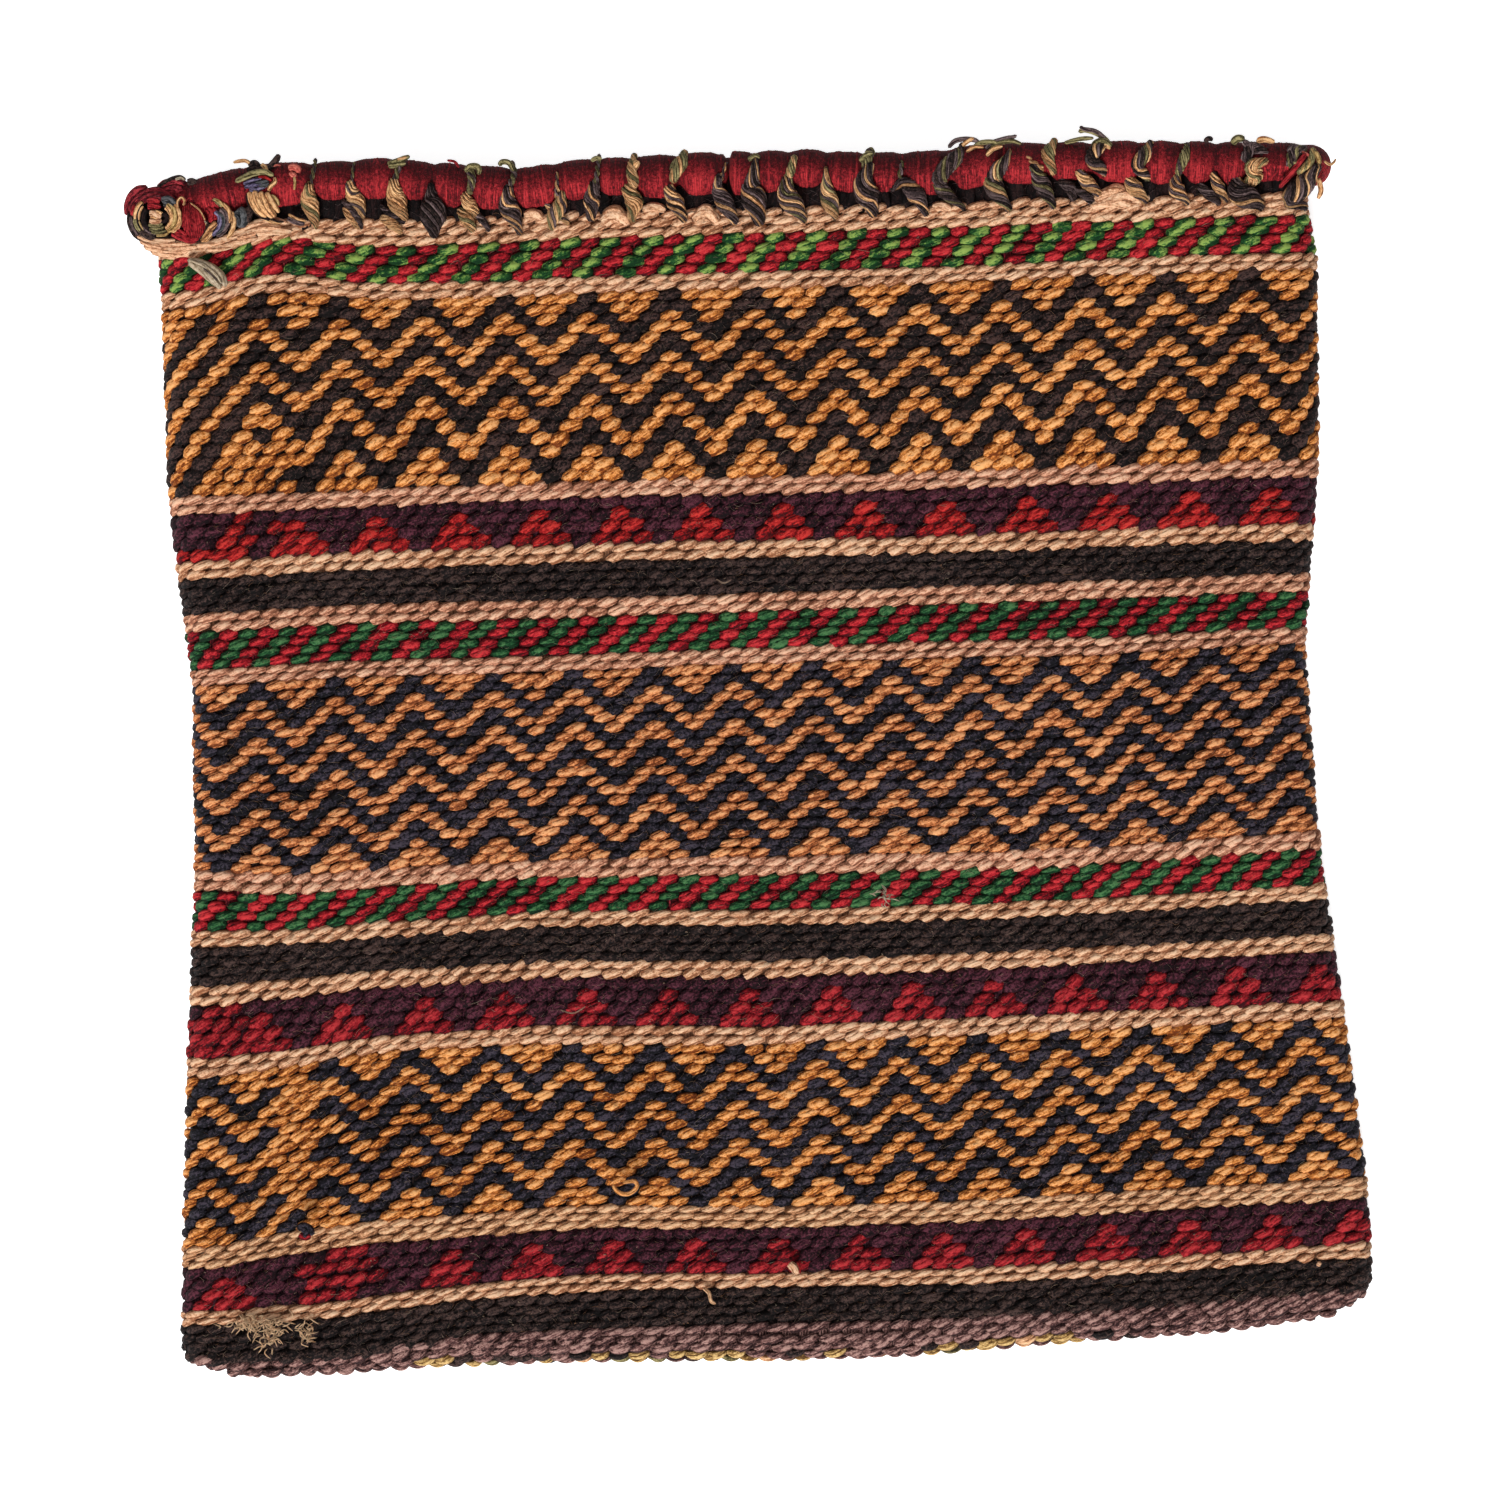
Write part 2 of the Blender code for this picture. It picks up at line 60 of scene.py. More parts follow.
cloth = {
    "wall": 5.0 * mm,
    "clear": 0.3 * mm,
    "bodyWidth": 416 * mm,
    "pocketBottom": 5.5 * mm,
    "pocketMouth": 17 * mm,
    "foldLip": 1.0 * mm,
    "rowTilt": 4.0 * mm,
    "leftFrom": 0.7,          # share of the half width where the left side starts to dip
    "baseDip": 3.8 * mm,
    "baseTo": 0.75,           # share of the height where that dip ends
    "mouthDip": 7.5 * mm,
    "mouthFrom": 0.93,        # share of the height where the mouth's dip starts
    "bulge": 3.9 * mm,
    "bulgeAcross": 0.4,       # its middle, left of the bag's middle, and its half width
    "bulgeUp": (0.27, 0.25),  # its middle and half height
    "stitchesRound": 116,     # stitches in one ring
    "weftDepth": 1.7 * mm,    # middle of the weft below the outer face
    "fullness": 1.5 * mm,     # how far the soft folds swell past the wall
    "corner": 19 * mm,        # radius of the bottom corners
    "lip": 4.8 * mm,          # from the last black row to the bottom line
    "hemPitch": 3.1 * mm,
    "wave": 0.12 * mm,        # how far a row strays from its line
    "backLift": 4.0 * mm,     # how far the back's top band rises to its roll
}

# Bands from the mouth down. Peak is the place of one peak from the middle in mm, stretch how much
# wider the pattern is in the middle of the front
Band = namedtuple("Band", "name height rows pattern yarns peak stretch", defaults=(0, 0))
bands = tuple(Band(*entry) for entry in (
    ("cream_1", 8.5, 3, "plain", ("cream",)),
    ("redgreen_1", 13.5, 4, "stripes", ("red", "freshGreen"), -7.3),
    ("cream_2", 5.5, 2, "plain", ("cream",)),
    ("zigzag_1", 66.0, 17, "zigzag", ("amber", "black"), 4.7, 0.009),
    ("cream_3", 6.0, 2, "plain", ("sand",)),
    ("triangles_1", 16.5, 4, "triangles", ("purple", "scarlet"), 17.2, 0.005),
    ("cream_4", 6.0, 2, "plain", ("cream",)),
    ("black_1", 11.7, 4, "plain", ("coal",)),
    ("cream_5", 6.2, 2, "plain", ("sand",)),
    ("redgreen_2", 12.7, 4, "stripes", ("red", "green"), 0.2, 0.011),
    ("cream_6", 5.4, 2, "plain", ("sand",)),
    ("zigzag_2", 65.5, 21, "zigzag", ("rust", "navy"), -5.8, 0.013),
    ("cream_7", 6.5, 2, "plain", ("sand",)),
    ("redgreen_3", 13.0, 4, "stripes", ("red", "green"), -3.1, 0.0155),
    ("cream_8", 5.5, 2, "plain", ("cream",)),
    ("black_2", 12.5, 4, "plain", ("coal",)),
    ("cream_9", 6.1, 2, "plain", ("cream",)),
    ("triangles_2", 17.5, 4, "triangles", ("purple", "crimson"), -1.2, 0.009),
    ("cream_10", 6.0, 2, "plain", ("cream",)),
    ("zigzag_3", 55.9, 17, "zigzag", ("amber", "navy"), 17.6, -0.004),
    ("tan_11", 7.5, 3, "plain", ("tan",)),
    ("triangles_3", 16.0, 4, "triangles", ("purple", "crimson"), 4.6, -0.012),
    ("cream_12", 5.0, 2, "plain", ("cream",)),
    ("black_3", 12.0, 4, "plain", ("coal",)),
))
outlineBands = ("cream_1", "zigzag_1", "cream_3", "zigzag_2", "cream_7", "zigzag_3", "tan_11")
outlineShares = (0.959, 0.966, 0.962, 0.931, 0.940, 0.971, 0.993, 1.0)

bandHeights = np.array([band.height for band in bands]) * mm
clothLength = bandHeights.sum()
edges = clothLength / 2 - np.concatenate(([0], np.cumsum(bandHeights)))
mouthY, baseY = edges[0], edges[-1]
outlineEdges = [edges[number] for number, band in enumerate(bands) if band.name in outlineBands] + [baseY]
slopeTan = (cloth["pocketMouth"] - cloth["pocketBottom"]) / clothLength
baseRadius = cloth["wall"] + cloth["pocketBottom"] / 2


def ramp(value, low, high):
    return np.clip((value - low) / (high - low), 0, 1)


# Height of a band edge at a share of the half width, -1 at the left
def edgeY(edge, share):
    height = (edges[edge] - baseY) / clothLength
    left = ramp(-share, cloth["leftFrom"], 1.0)
    low = max(1 - height / cloth["baseTo"], 0)
    high = max((height - cloth["mouthFrom"]) / (1 - cloth["mouthFrom"]), 0)
    side = np.maximum(1 - np.abs((share + cloth["bulgeAcross"]) / cloth["bulgeAcross"]), 0)
    middle, reach = cloth["bulgeUp"]
    level = max(1 - abs(height - middle) / reach, 0)
    tilt = -cloth["rowTilt"] * share * height ** 2
    dip = left * (cloth["baseDip"] * low + cloth["mouthDip"] * high ** 2)
    return edges[edge] + tilt - dip + cloth["bulge"] * side * level


# Where the weaving bulges or sags: (across, up, how far up it moves, width, height), all in mm
bulges = (
    (-157, 181, 5.0, 18, 17), (-182, 172, 1.4, 16, 16), (170, 172, 1.4, 80, 22), (-100, 184, -1.3, 45, 16),
    (-120, 130, 1.6, 40, 22), (110, -12, -3.2, 80, 26), (90, -52, -1.6, 90, 22), (-196, -22, 4.4, 22, 34),
    (-160, -66, 1.6, 40, 14), (-118, -112, 2.5, 40, 20), (-198, -148, -2.8, 20, 34),
     (-152, -188, -3.8, 30, 18),
    (70, -186, -2.6, 62, 14), (180, -196, 0.8, 32, 14), (-150, 52, 1.2, 60, 34), (-70, 82, 1.8, 90, 20),
    (40, -28, -1.3, 150, 14), (70, -155, -1.8, 110, 16), (-160, -200, -2.5, 34, 9), (-196, 165, -3.5, 14, 18),
    (140, -192, -1.6, 45, 16), (-60, -152, 1.6, 40, 20), (-65, -174, 1.2, 35, 8), (-142, -110, 1.5, 34, 34),
    (-70, -17, -1.3, 36, 12), (118, 30, -1.8, 36, 12), (65, 140, -1.1, 55, 26),
)

def settle(x, y):
    return sum(rise * mm * np.exp(-((x / mm - across) / wide) ** 2 - ((y / mm - up) / high) ** 2)
               for across, up, rise, wide, high in bulges)


# How the bottom line sags and rises: (across, rise, width), all in mm
hemBulges = ((30, -3.0, 60), (197, 3.0, 32), (-120, 1.0, 40))


def hemSag(x):
    return sum(rise * mm * np.exp(-((x / mm - across) / wide) ** 2) for across, rise, wide in hemBulges)


# How far the whole ring sits to the right at a height: (height, shift) in mm
ringShifts = ((-206, 0.5), (-197, -2), (-165, -1), (-60, -1.5), (30, -1), (90, 0), (130, 1), (170, 2),
              (200, 0))


# Reads a table of (place, value) pairs in mm
def readOff(table, place):
    return np.interp(place, *(np.array(table).T * mm))


# The bottom corners are round: how far a ring draws in at a height above the bottom line
def cornerIn(height):
    near = 1 - ramp(height, 0, cloth["corner"])
    return cloth["corner"] * (1 - np.sqrt(1 - near ** 2))


# Rows of a band that are not all of one height
rowSizes = {"zigzag_1": (1.0,) * 11 + (1.27,) * 6}


def rowPart(band, number):
    sizes = np.array(rowSizes.get(band.name, (1.0,) * band.rows))
    return np.interp(number, np.arange(band.rows + 1), np.concatenate(([0], np.cumsum(sizes))) / sizes.sum())


def outlineHalf(y):
    return np.interp(y, outlineEdges[::-1], outlineShares[::-1]) * cloth["bodyWidth"] / 2


def foldRadius(y):
    return baseRadius + (y - baseY) * slopeTan / 2


foldLineY = min(edgeY(len(bands), np.linspace(-1, 1, 41))) - cloth["foldLip"]


# Rows: each is a ring with its own height, half width, fold radius and lean

def bodyRow(edge, number, wave):
    band = bands[edge]
    part, first = rowPart(band, number + 0.5), max(number, 0)
    step = rowPart(band, first + 1) - rowPart(band, first)
    y = edges[edge] + (edges[edge + 1] - edges[edge]) * part
    radius = foldRadius(y)
    inside = cornerIn(y - foldLineY + radius - cloth["weftDepth"])
    return {
        "band": band.name, "number": number, "lean": 0.0, "edge": edge, "part": part, "wave": wave,
        "half": outlineHalf(y) - radius - cloth["clear"] + cloth["fullness"] - inside,
        "radius": radius - cloth["weftDepth"], "centre": radius,
        "pitch": -(edges[edge + 1] - edges[edge]) * (step or 1 / band.rows),
    }


# A row below the last band, turned under by some degrees, a drop in mm below the band
def hemRow(number, turn, drop, wave):
    turn, drop = math.radians(turn), drop * mm
    radius = baseRadius - cloth["weftDepth"]
    inside = cornerIn(max(cloth["lip"] - drop, 0) + radius * (1 - math.sin(turn)))
    return {
        "band": "bottom", "number": number, "lean": turn, "edge": None, "wave": wave,
        "half": outlineHalf(baseY) - baseRadius - cloth["clear"] + cloth["fullness"] - inside,
        "radius": radius * math.cos(turn), "centre": baseRadius,
        "pitch": cloth["hemPitch"], "drop": drop + radius * math.sin(turn),
    }


def rowHeight(row, share):
    x = share * row["half"]
    if row["edge"] is None:
        lip = edgeY(len(bands), share)
        lip = lip + settle(x, lip)
        low = foldLineY + hemSag(x)
        past = max(row["drop"] - cloth["lip"], 0)
        return lip + (low - lip) * min(row["drop"] / cloth["lip"], 1) - past + sway(row, share)
    top, low = edgeY(row["edge"], share), edgeY(row["edge"] + 1, share)
    level = top + (low - top) * row["part"]
    return level + settle(x, level) + sway(row, share)


# Rows never run quite straight
def sway(row, share):
    first, second, size = row["wave"]
    return size * (np.sin(9 * share + first) + 0.6 * np.sin(23 * share + second))


def anyTurn():
    return chance.uniform(0, 6.28)


def newWave():
    return (anyTurn(), anyTurn(), cloth["wave"])


rows = [bodyRow(edge, number, newWave()) for edge, band in enumerate(bands) for number in range(band.rows)]
hemPlan = ((0, 1.6), (0, 4.6), (20, 4.8), (50, 4.8), (80, 4.8))
rows += [hemRow(number, *place, newWave()) for number, place in enumerate(hemPlan)]


def ringLength(row):
    return 4 * row["half"] + tau * row["radius"]


def backLift(y):
    return cloth["backLift"] * np.clip((y - edges[1]) / bandHeights[0], 0, 1)


# A point of the ring: along runs from the middle of the front to the right, rise is up the
# cloth and out is off the weft's middle
def onRing(row, along, rise, out):
    half, radius, lean = row["half"], row["radius"], row["lean"]
    length, bend = ringLength(row), math.pi * radius
    along = (along + length / 2) % length - length / 2
    side = np.where(along < 0, -1.0, 1.0)
    reach = np.abs(along)
    turn = np.clip((reach - half) / radius, 0, math.pi)
    centreX = np.where(reach < half, reach, half)
    centreX = np.where(reach > half + bend, 2 * half + bend - reach, centreX)
    radialX, radialZ = side * np.sin(turn), np.cos(turn)
    away = radius + rise * math.sin(lean) + out * math.cos(lean)
    y = rowHeight(row, side * centreX / half) + rise * math.cos(lean) - out * math.sin(lean)
    lift = backLift(y) * (radialZ < -0.5) if row["edge"] == 0 else 0
    x = side * centreX + radialX * away
    return np.stack((x + readOff(ringShifts, y), y, row["centre"] + radialZ * away + lift), -1)


# The picture: its camera, and where its 1500 pixels across lie on the bag

view = {
    "distance": 2.0,
    "frameHeight": 524.1 * mm,
    "centre": (-2.0 * mm, 4.5 * mm),
    "turn": 2.7,
    "faceZ": 21 * mm,
    "pixel": 0.348 * mm,
    "middle": (757, 780),     # the pixel that lies over the bag's middle
    "below": 5 * mm,          # but for this much further down
}
turnCos, turnSin = math.cos(math.radians(view["turn"])), math.sin(math.radians(view["turn"]))


# Where a place on the front shows across the picture, in its pixels
def pictureX(x, y):
    return view["middle"][0] + (x * turnCos - (y + view["below"]) * turnSin) / view["pixel"]


# A place in the picture brought to a height z, in mm
def spot(across, down, z):
    right, up = (across - view["middle"][0]) * view["pixel"], (view["middle"][1] - down) * view["pixel"]
    x = right * turnCos + up * turnSin
    y = -right * turnSin + up * turnCos - view["below"]
    near = 1 - (z * mm - view["faceZ"]) / view["distance"]
    middle = view["centre"]
    return (middle[0] + (x - middle[0]) * near, middle[1] + (y - middle[1]) * near, z * mm)


# Patterns: which of the band's yarns a stitch shows. A turn counts half stitches round the bag,
# a zigzag repeats after eight of them, and its lines lie four rows apart

repeat, gap = 8, 4


def onLine(band, step):
    return 0 <= step <= band.rows - gap - 1 and step % gap == 0


def stitchYarn(band, number, turn):
    first, second = band.yarns[0], band.yarns[-1]
    if band.pattern == "plain":
        return first
    if band.pattern == "stripes":
        return band.yarns[int((turn + number) // 2) % 2]
    if band.pattern == "triangles":
        return second if abs((turn + gap + 1) % repeat - gap) <= 3 - band.rows + number else first
    return second if onLine(band, number - abs((turn + gap) % repeat - gap)) else first


# Materials. How strongly fibres, speckles and the painted shade in the creases between stitches show
smooth = (3.1, 1.7, -0.42)
gritty = (2.2, 3.4, -0.24)
darkWool = {"plies": 0.3, "sheen": 0.04, "grit": gritty}

yarns = {
    "cream": {"colours": ((150, 94, 62), (226, 168, 128), (248, 206, 168)), "plies": 0.7},
    "sand": {"colours": ((140, 86, 62), (216, 150, 118), (244, 196, 162)), "plies": 0.7},
    "tan": {"colours": ((142, 92, 58), (222, 162, 118), (246, 202, 158)), "plies": 0.7},
    "amber": {"colours": ((112, 50, 12), (216, 130, 56), (252, 184, 118)), "plies": 0.7},
    "rust": {"colours": ((108, 50, 20), (212, 126, 72), (246, 178, 122)), "plies": 0.7},
    "black": {"colours": ((4, 1, 1), (26, 16, 16), (76, 54, 50)), **darkWool},
    "coal": {"colours": ((5, 2, 2), (29, 19, 19), (80, 60, 55)), **darkWool},
    "navy": {"colours": ((4, 3, 6), (22, 21, 31), (70, 62, 74)), **darkWool},
    "purple": {"colours": ((14, 1, 5), (48, 12, 24), (94, 44, 58)), **darkWool},
    "scarlet": {"colours": ((56, 1, 4), (152, 12, 18), (204, 54, 48)), "plies": 0.5},
    "crimson": {"colours": ((50, 1, 8), (138, 10, 24), (190, 52, 56)), "plies": 0.5},
    "red": {"colours": ((62, 1, 8), (158, 10, 28), (212, 56, 60)), "plies": 0.5},
    "green": {"colours": ((2, 26, 10), (18, 74, 38), (78, 124, 76)), "plies": 0.5},
    "freshGreen": {"colours": ((2, 46, 18), (42, 94, 40), (144, 172, 84)), "plies": 0.5, "twoTone": 0.42},
    "mauve": {"colours": ((40, 20, 22), (116, 78, 74), (184, 144, 134)), "plies": 0.6},
    "wine": {"colours": ((34, 4, 10), (96, 14, 26), (168, 52, 60)), "plies": 0.5, "sheen": 0.06},
    # dusk: cream darkened as painted shade, for the slab between cream stitches; it also colours hairs
    "dusk": {"colours": ((100, 62, 44), (146, 100, 72), (182, 136, 104)), "plies": 0.2},
    "rimRed": {"colours": ((44, 6, 10), (112, 12, 24), (196, 50, 56)),
               "plies": 0, "sheen": 0.2, "wound": True},
    # near black, painted shade: in the gap below the roll, under fat whip legs, in the knob, among tufts and
    # hairs
    "gapDark": {"colours": ((8, 4, 5), (22, 11, 12), (46, 26, 25)), "plies": 0.3, "sheen": 0.05},
    "marlTan": {"colours": ((112, 66, 36), (222, 158, 104), (255, 206, 150)), "plies": 0.8},
    "marlGold": {"colours": ((96, 64, 30), (184, 144, 84), (230, 194, 132)), "plies": 0.8},
    "marlBrown": {"colours": ((22, 14, 16), (70, 52, 54), (136, 114, 112)), "plies": 0.8, "sheen": 0.1},
    "marlOlive": {"colours": ((40, 34, 18), (108, 98, 60), (174, 160, 112)), "plies": 0.8, "sheen": 0.1},
    "marlBlue": {"colours": ((26, 22, 38), (78, 68, 100), (146, 134, 164)), "plies": 0.7, "sheen": 0.1},
    "slate": {"colours": ((22, 24, 27), (50, 52, 56), (104, 104, 106)), "plies": 0.6, "sheen": 0.1},
    "coral": {"colours": ((150, 40, 38), (202, 84, 74), (228, 130, 112)), "plies": 0.3},
    "wool": {"colours": ((130, 108, 84), (176, 154, 126), (212, 194, 168)), "plies": 0.5},
    "fluff": {"colours": ((190, 128, 84), (240, 182, 134), (255, 214, 170)), "plies": 0},
    "hair": {"colours": ((110, 86, 70), (158, 130, 108), (205, 180, 156)), "plies": 0},
}
fibre = {
    "lay": 13 * mm,           # length of one turn of a ply
    "plies": 4.0,
    "groove": 0.6,            # how sharp the groove between two plies is
    "twined": (4.2, 420.0),   # how close the streaks are, across the yarn and along it
    "wound": (2200.0, 9.0),
    "seed": 97.0,             # sets the streaks of each stitch apart by its shade
    "drift": 28.0,            # how fine the noise is that shifts the shade over the bag
    "speckle": 1050.0,
    "bump": 0.9 * mm,
}


def linear(value):
    value = value / 255
    return value / 12.92 if value <= 0.04045 else ((value + 0.055) / 1.055) ** 2.4


def colourOf(rgb):
    return (*[linear(part) for part in rgb], 1.0)


# A material and the nodes that feed its shader. Inputs are values or other nodes' outputs
class Shade:
    def __init__(self, name, inputs):
        self.material = bpy.data.materials.new(name)
        self.material.use_nodes = True
        self.tree = self.material.node_tree
        self.finish(inputs)

    def feed(self, node, inputs):
        for key, value in inputs.items():
            if isinstance(value, bpy.types.NodeSocket):
                self.tree.links.new(value, node.inputs[key])
            else:
                node.inputs[key].default_value = value
        return node

    def add(self, kind, inputs, **settings):
        node = self.tree.nodes.new(kind)
        for key, value in settings.items():
            setattr(node, key, value)
        return self.feed(node, inputs)

    def calc(self, operation, *parts):
        return self.add("ShaderNodeMath", dict(enumerate(parts)), operation=operation).outputs[0]

    def noise(self, place, scale, detail, roughness=0.5):
        return self.add("ShaderNodeTexNoise", {"Vector": place, "Scale": scale, "Detail": detail,
                                               "Roughness": roughness}).outputs["Fac"]

    def attribute(self, name, output):
        return self.add("ShaderNodeAttribute", {}, attribute_name=name).outputs[output]

    def finish(self, inputs):
        self.feed(self.tree.nodes["Principled BSDF"], inputs)
        return self.material


# Twisted plies and streaks of fibre that follow each stitch
def yarnMaterial(name, colours, plies, sheen=0.08, twoTone=0, wound=False, grit=smooth):
    shade = Shade(name + "Yarn", {"Roughness": 0.8, "Specular IOR Level": 0.2, "Sheen Weight": sheen,
                                  "Sheen Roughness": 0.4, "Sheen Tint": colourOf(colours[2])})
    calc = shade.calc

    def weigh(level, source, strength, middle=0.5):
        return calc("MULTIPLY_ADD", source, strength, calc("ADD", level, -middle * strength))

    parts = shade.add("ShaderNodeSeparateXYZ", {0: shade.attribute("yarnPlace", "Vector")})
    along, around, tone = parts.outputs
    # the plies run slantwise round the yarn, with a groove between each two, where the colour darkens as
    # painted shade
    slant = calc("MULTIPLY_ADD", along, -1 / fibre["lay"], calc("MULTIPLY", around, fibre["plies"]))
    twist = calc("ABSOLUTE", calc("SINE", calc("MULTIPLY", calc("ADD", slant, tone), math.pi)))
    twist = calc("POWER", twist, fibre["groove"])
    # wound yarn has its strands round the piece, twined yarn along the stitch
    across, length = (along, around) if wound else (slant, along)
    fine, coarse = fibre["wound" if wound else "twined"]
    streak = [calc("MULTIPLY", *pair) for pair in ((across, fine), (length, coarse), (tone, fibre["seed"]))]
    streak = shade.add("ShaderNodeCombineXYZ", dict(enumerate(streak)))
    fibres = shade.noise(streak.outputs[0], 1.0, 4.0, 0.7)
    place = shade.add("ShaderNodeTexCoord", {}).outputs["Object"]
    speckle = shade.noise(place, fibre["speckle"], 2.0, 0.75)
    level = weigh(tone, fibres, grit[0])
    level = weigh(level, speckle, grit[1])
    level = weigh(level, shade.noise(place, fibre["drift"], 2.0), 0.4)
    # painted shade in the grooves between plies, lighter on their crowns
    level = weigh(level, twist, plies, 0.68)
    # painted shade darkens the creases between stitches, as strongly as grit's last value says
    level = calc("MULTIPLY_ADD", shade.attribute("crease", "Fac"), grit[2], calc("ADD", level, 0.06))
    if twoTone:
        halves = calc("MULTIPLY_ADD", along, -1 / fibre["lay"], around)
        halves = calc("MULTIPLY", calc("MULTIPLY_ADD", tone, 5.0, halves), tau)
        level = calc("MULTIPLY_ADD", calc("SINE", halves), twoTone, level)
    blend = shade.add("ShaderNodeValToRGB", {"Fac": level})
    stops = blend.color_ramp.elements
    stops.new(0.5)
    for stop, position, colour in zip(stops, (0.05, 0.5, 0.95), colours):
        stop.position, stop.color = position, colourOf(colour)
    height = calc("MULTIPLY_ADD", fibres, 0.8, calc("MULTIPLY", twist, 0.5))
    height = calc("MULTIPLY_ADD", speckle, 0.5, height)
    bump = shade.add("ShaderNodeBump", {"Strength": 1.0, "Distance": fibre["bump"], "Height": height})
    return shade.finish({"Base Color": blend.outputs["Color"], "Normal": bump.outputs["Normal"]})


materials = {name: yarnMaterial(name, **kind) for name, kind in yarns.items()}
print("materials:", len(materials))


# A grain, the shape of a stitch or a strand, made once per fineness. Its places are (along,
# around) and are bent later

grains = {}


def swell(along):
    return (1 - np.abs(along) ** 2.6) ** 0.55


def grain(sides, steps):
    if (sides, steps) in grains:
        return grains[(sides, steps)]
    shape = bmesh.new()
    bmesh.ops.create_uvsphere(shape, u_segments=sides, v_segments=steps, radius=1)
    bmesh.ops.rotate(shape, verts=shape.verts[:], matrix=Matrix.Rotation(math.pi / 2, 3, "Y"))
    shape.verts.ensure_lookup_table()
    points = np.array([vert.co[:] for vert in shape.verts])
    faces = [[vert.index for vert in face.verts] for face in shape.faces]
    shape.free()
    along = 1 - 2 * np.arccos(np.clip(points[:, 0], -1, 1)) / math.pi
    around = np.arctan2(points[:, 1], points[:, 2]) / tau
    # painted shade: how far a place lies in the crease at a grain's sides and ends, where it meets the next
    # stitch
    crease = ramp(1 - swell(along) * np.cos(around * tau), 0.2, 0.5)
    atPole = np.abs(along) > 0.999
    corners = []
    for face in faces:
        turns = [around[corner] for corner in face if not atPole[corner]]
        far = max(turns) - min(turns) > 0.5
        turns = [turn + 1 if far and turn < 0 else turn for turn in turns]
        for corner in face:
            turn = around[corner] + (far and around[corner] < 0)
            turn = sum(turns) / len(turns) if atPole[corner] else turn
            corners.append(((along[corner] + 1) / 2, min(max((turn + 0.5) / 1.2, 0), 1)))
    grains[(sides, steps)] = {"along": along, "around": around, "crease": crease, "faces": faces,
                              "corners": np.array(corners)}
    return grains[(sides, steps)]


stitchShape = {
    "halfLength": 0.64,    # of the stitch pitch
    "halfWidth": 0.61,     # of the row pitch
    "halfThick": 1.35 * mm,
    "arch": 1.40 * mm,
    "slant": 0.21,         # of the row pitch, each way
    "base": -0.70 * mm,
    "unevenness": 0.08,
    "astray": (0.3 * mm, 0.2 * mm, 0.18 * mm),    # along, up and out
}
ropeShape = dict(stitchShape, halfLength=0.66, halfWidth=0.60, slant=0.25, arch=1.5 * mm)
stripeShape = dict(stitchShape, halfLength=0.63, slant=0.15)
stitchShapes = {"cream": ropeShape, "tan": ropeShape, "bottom": ropeShape, "redgreen": stripeShape}


# A yarn's shade drifts along its row and jumps a little from stitch to stitch
shadeDrift = {"stitches": 6, "drift": 0.10, "jump": 0.09}


def shades(count):
    steps = chance.normal(0, 1, (2, count // shadeDrift["stitches"] + 3))
    places = np.arange(count)
    lines = [np.interp(places / shadeDrift["stitches"], np.arange(steps.shape[1]), line) for line in steps]
    drift = shadeDrift["drift"] * np.array(lines)[places % 2, places]
    return np.clip(0.5 + drift + chance.normal(0, shadeDrift["jump"], count), 0.02, 0.98)


# The weaver's slips at the left: (band, rows, from, to, yarn), in picture pixels
slips = (
    ("triangles_1", (0, 3), 120, 265, "purple"), ("triangles_1", (0, 0), 230, 256, "scarlet"),
    ("triangles_1", (1, 1), 224, 248, "scarlet"), ("triangles_1", (2, 3), 216, 250, "scarlet"),
    ("triangles_1", (3, 3), 166, 200, "scarlet"), ("triangles_1", (1, 2), 272, 303, "scarlet"),
    ("triangles_2", (0, 0), 205, 238, "crimson"), ("triangles_2", (1, 1), 188, 250, "crimson"),
    ("triangles_2", (2, 3), 180, 290, "crimson"), ("triangles_3", (0, 3), 120, 405, "purple"),
    ("triangles_3", (1, 1), 218, 240, "crimson"), ("triangles_3", (2, 2), 206, 252, "crimson"),
    ("triangles_3", (3, 3), 196, 264, "crimson"), ("triangles_3", (0, 0), 318, 366, "crimson"),
    ("triangles_3", (1, 2), 304, 385, "crimson"), ("triangles_3", (3, 3), 288, 360, "crimson"),
    ("zigzag_3", (2, 14), 280, 316, "amber"), ("zigzag_1", (13, 16), 205, 285, "amber"),
)
# Left of its last peak the first zigzag only runs down to the left
lastPeak = {"edge": 250, "nextPeak": 213, "lines": (-4, 8)}
turnedEdge = 280    # left of it the third zigzag is a half repeat off


def slipYarn(band, row, turn, x):
    across, number = pictureX(x, rowHeight(row, x / row["half"])), row["number"]
    yarn = None
    for name, span, low, high, mend in slips:
        if name == band.name and span[0] <= number <= span[1] and low <= across <= high:
            yarn = mend
    if band.name == "zigzag_1" and across < lastPeak["edge"]:
        line = number + (turn + gap) % repeat - gap - (repeat if across < lastPeak["nextPeak"] else 0)
        low, high = lastPeak["lines"]
        yarn = band.yarns[line % gap == 0 and low <= line <= high]
    if band.name == "zigzag_3" and across < turnedEdge:
        yarn = band.yarns[onLine(band, number - abs(turn % repeat - gap))]
    return yarn


# The last row turns under: its mixed yarns show in two stretches, given in picture pixels
mixedStretches = ((425, 835), (925, 1135))
mixedYarns = ("marlGold", "mauve", "marlOlive", "tan", "coal")
mixedShares = (0.28, 0.32, 0.2, 0.1, 0.1)
lowBlack = ((180, 440), (205, 402))    # where the first two hem rows are still black


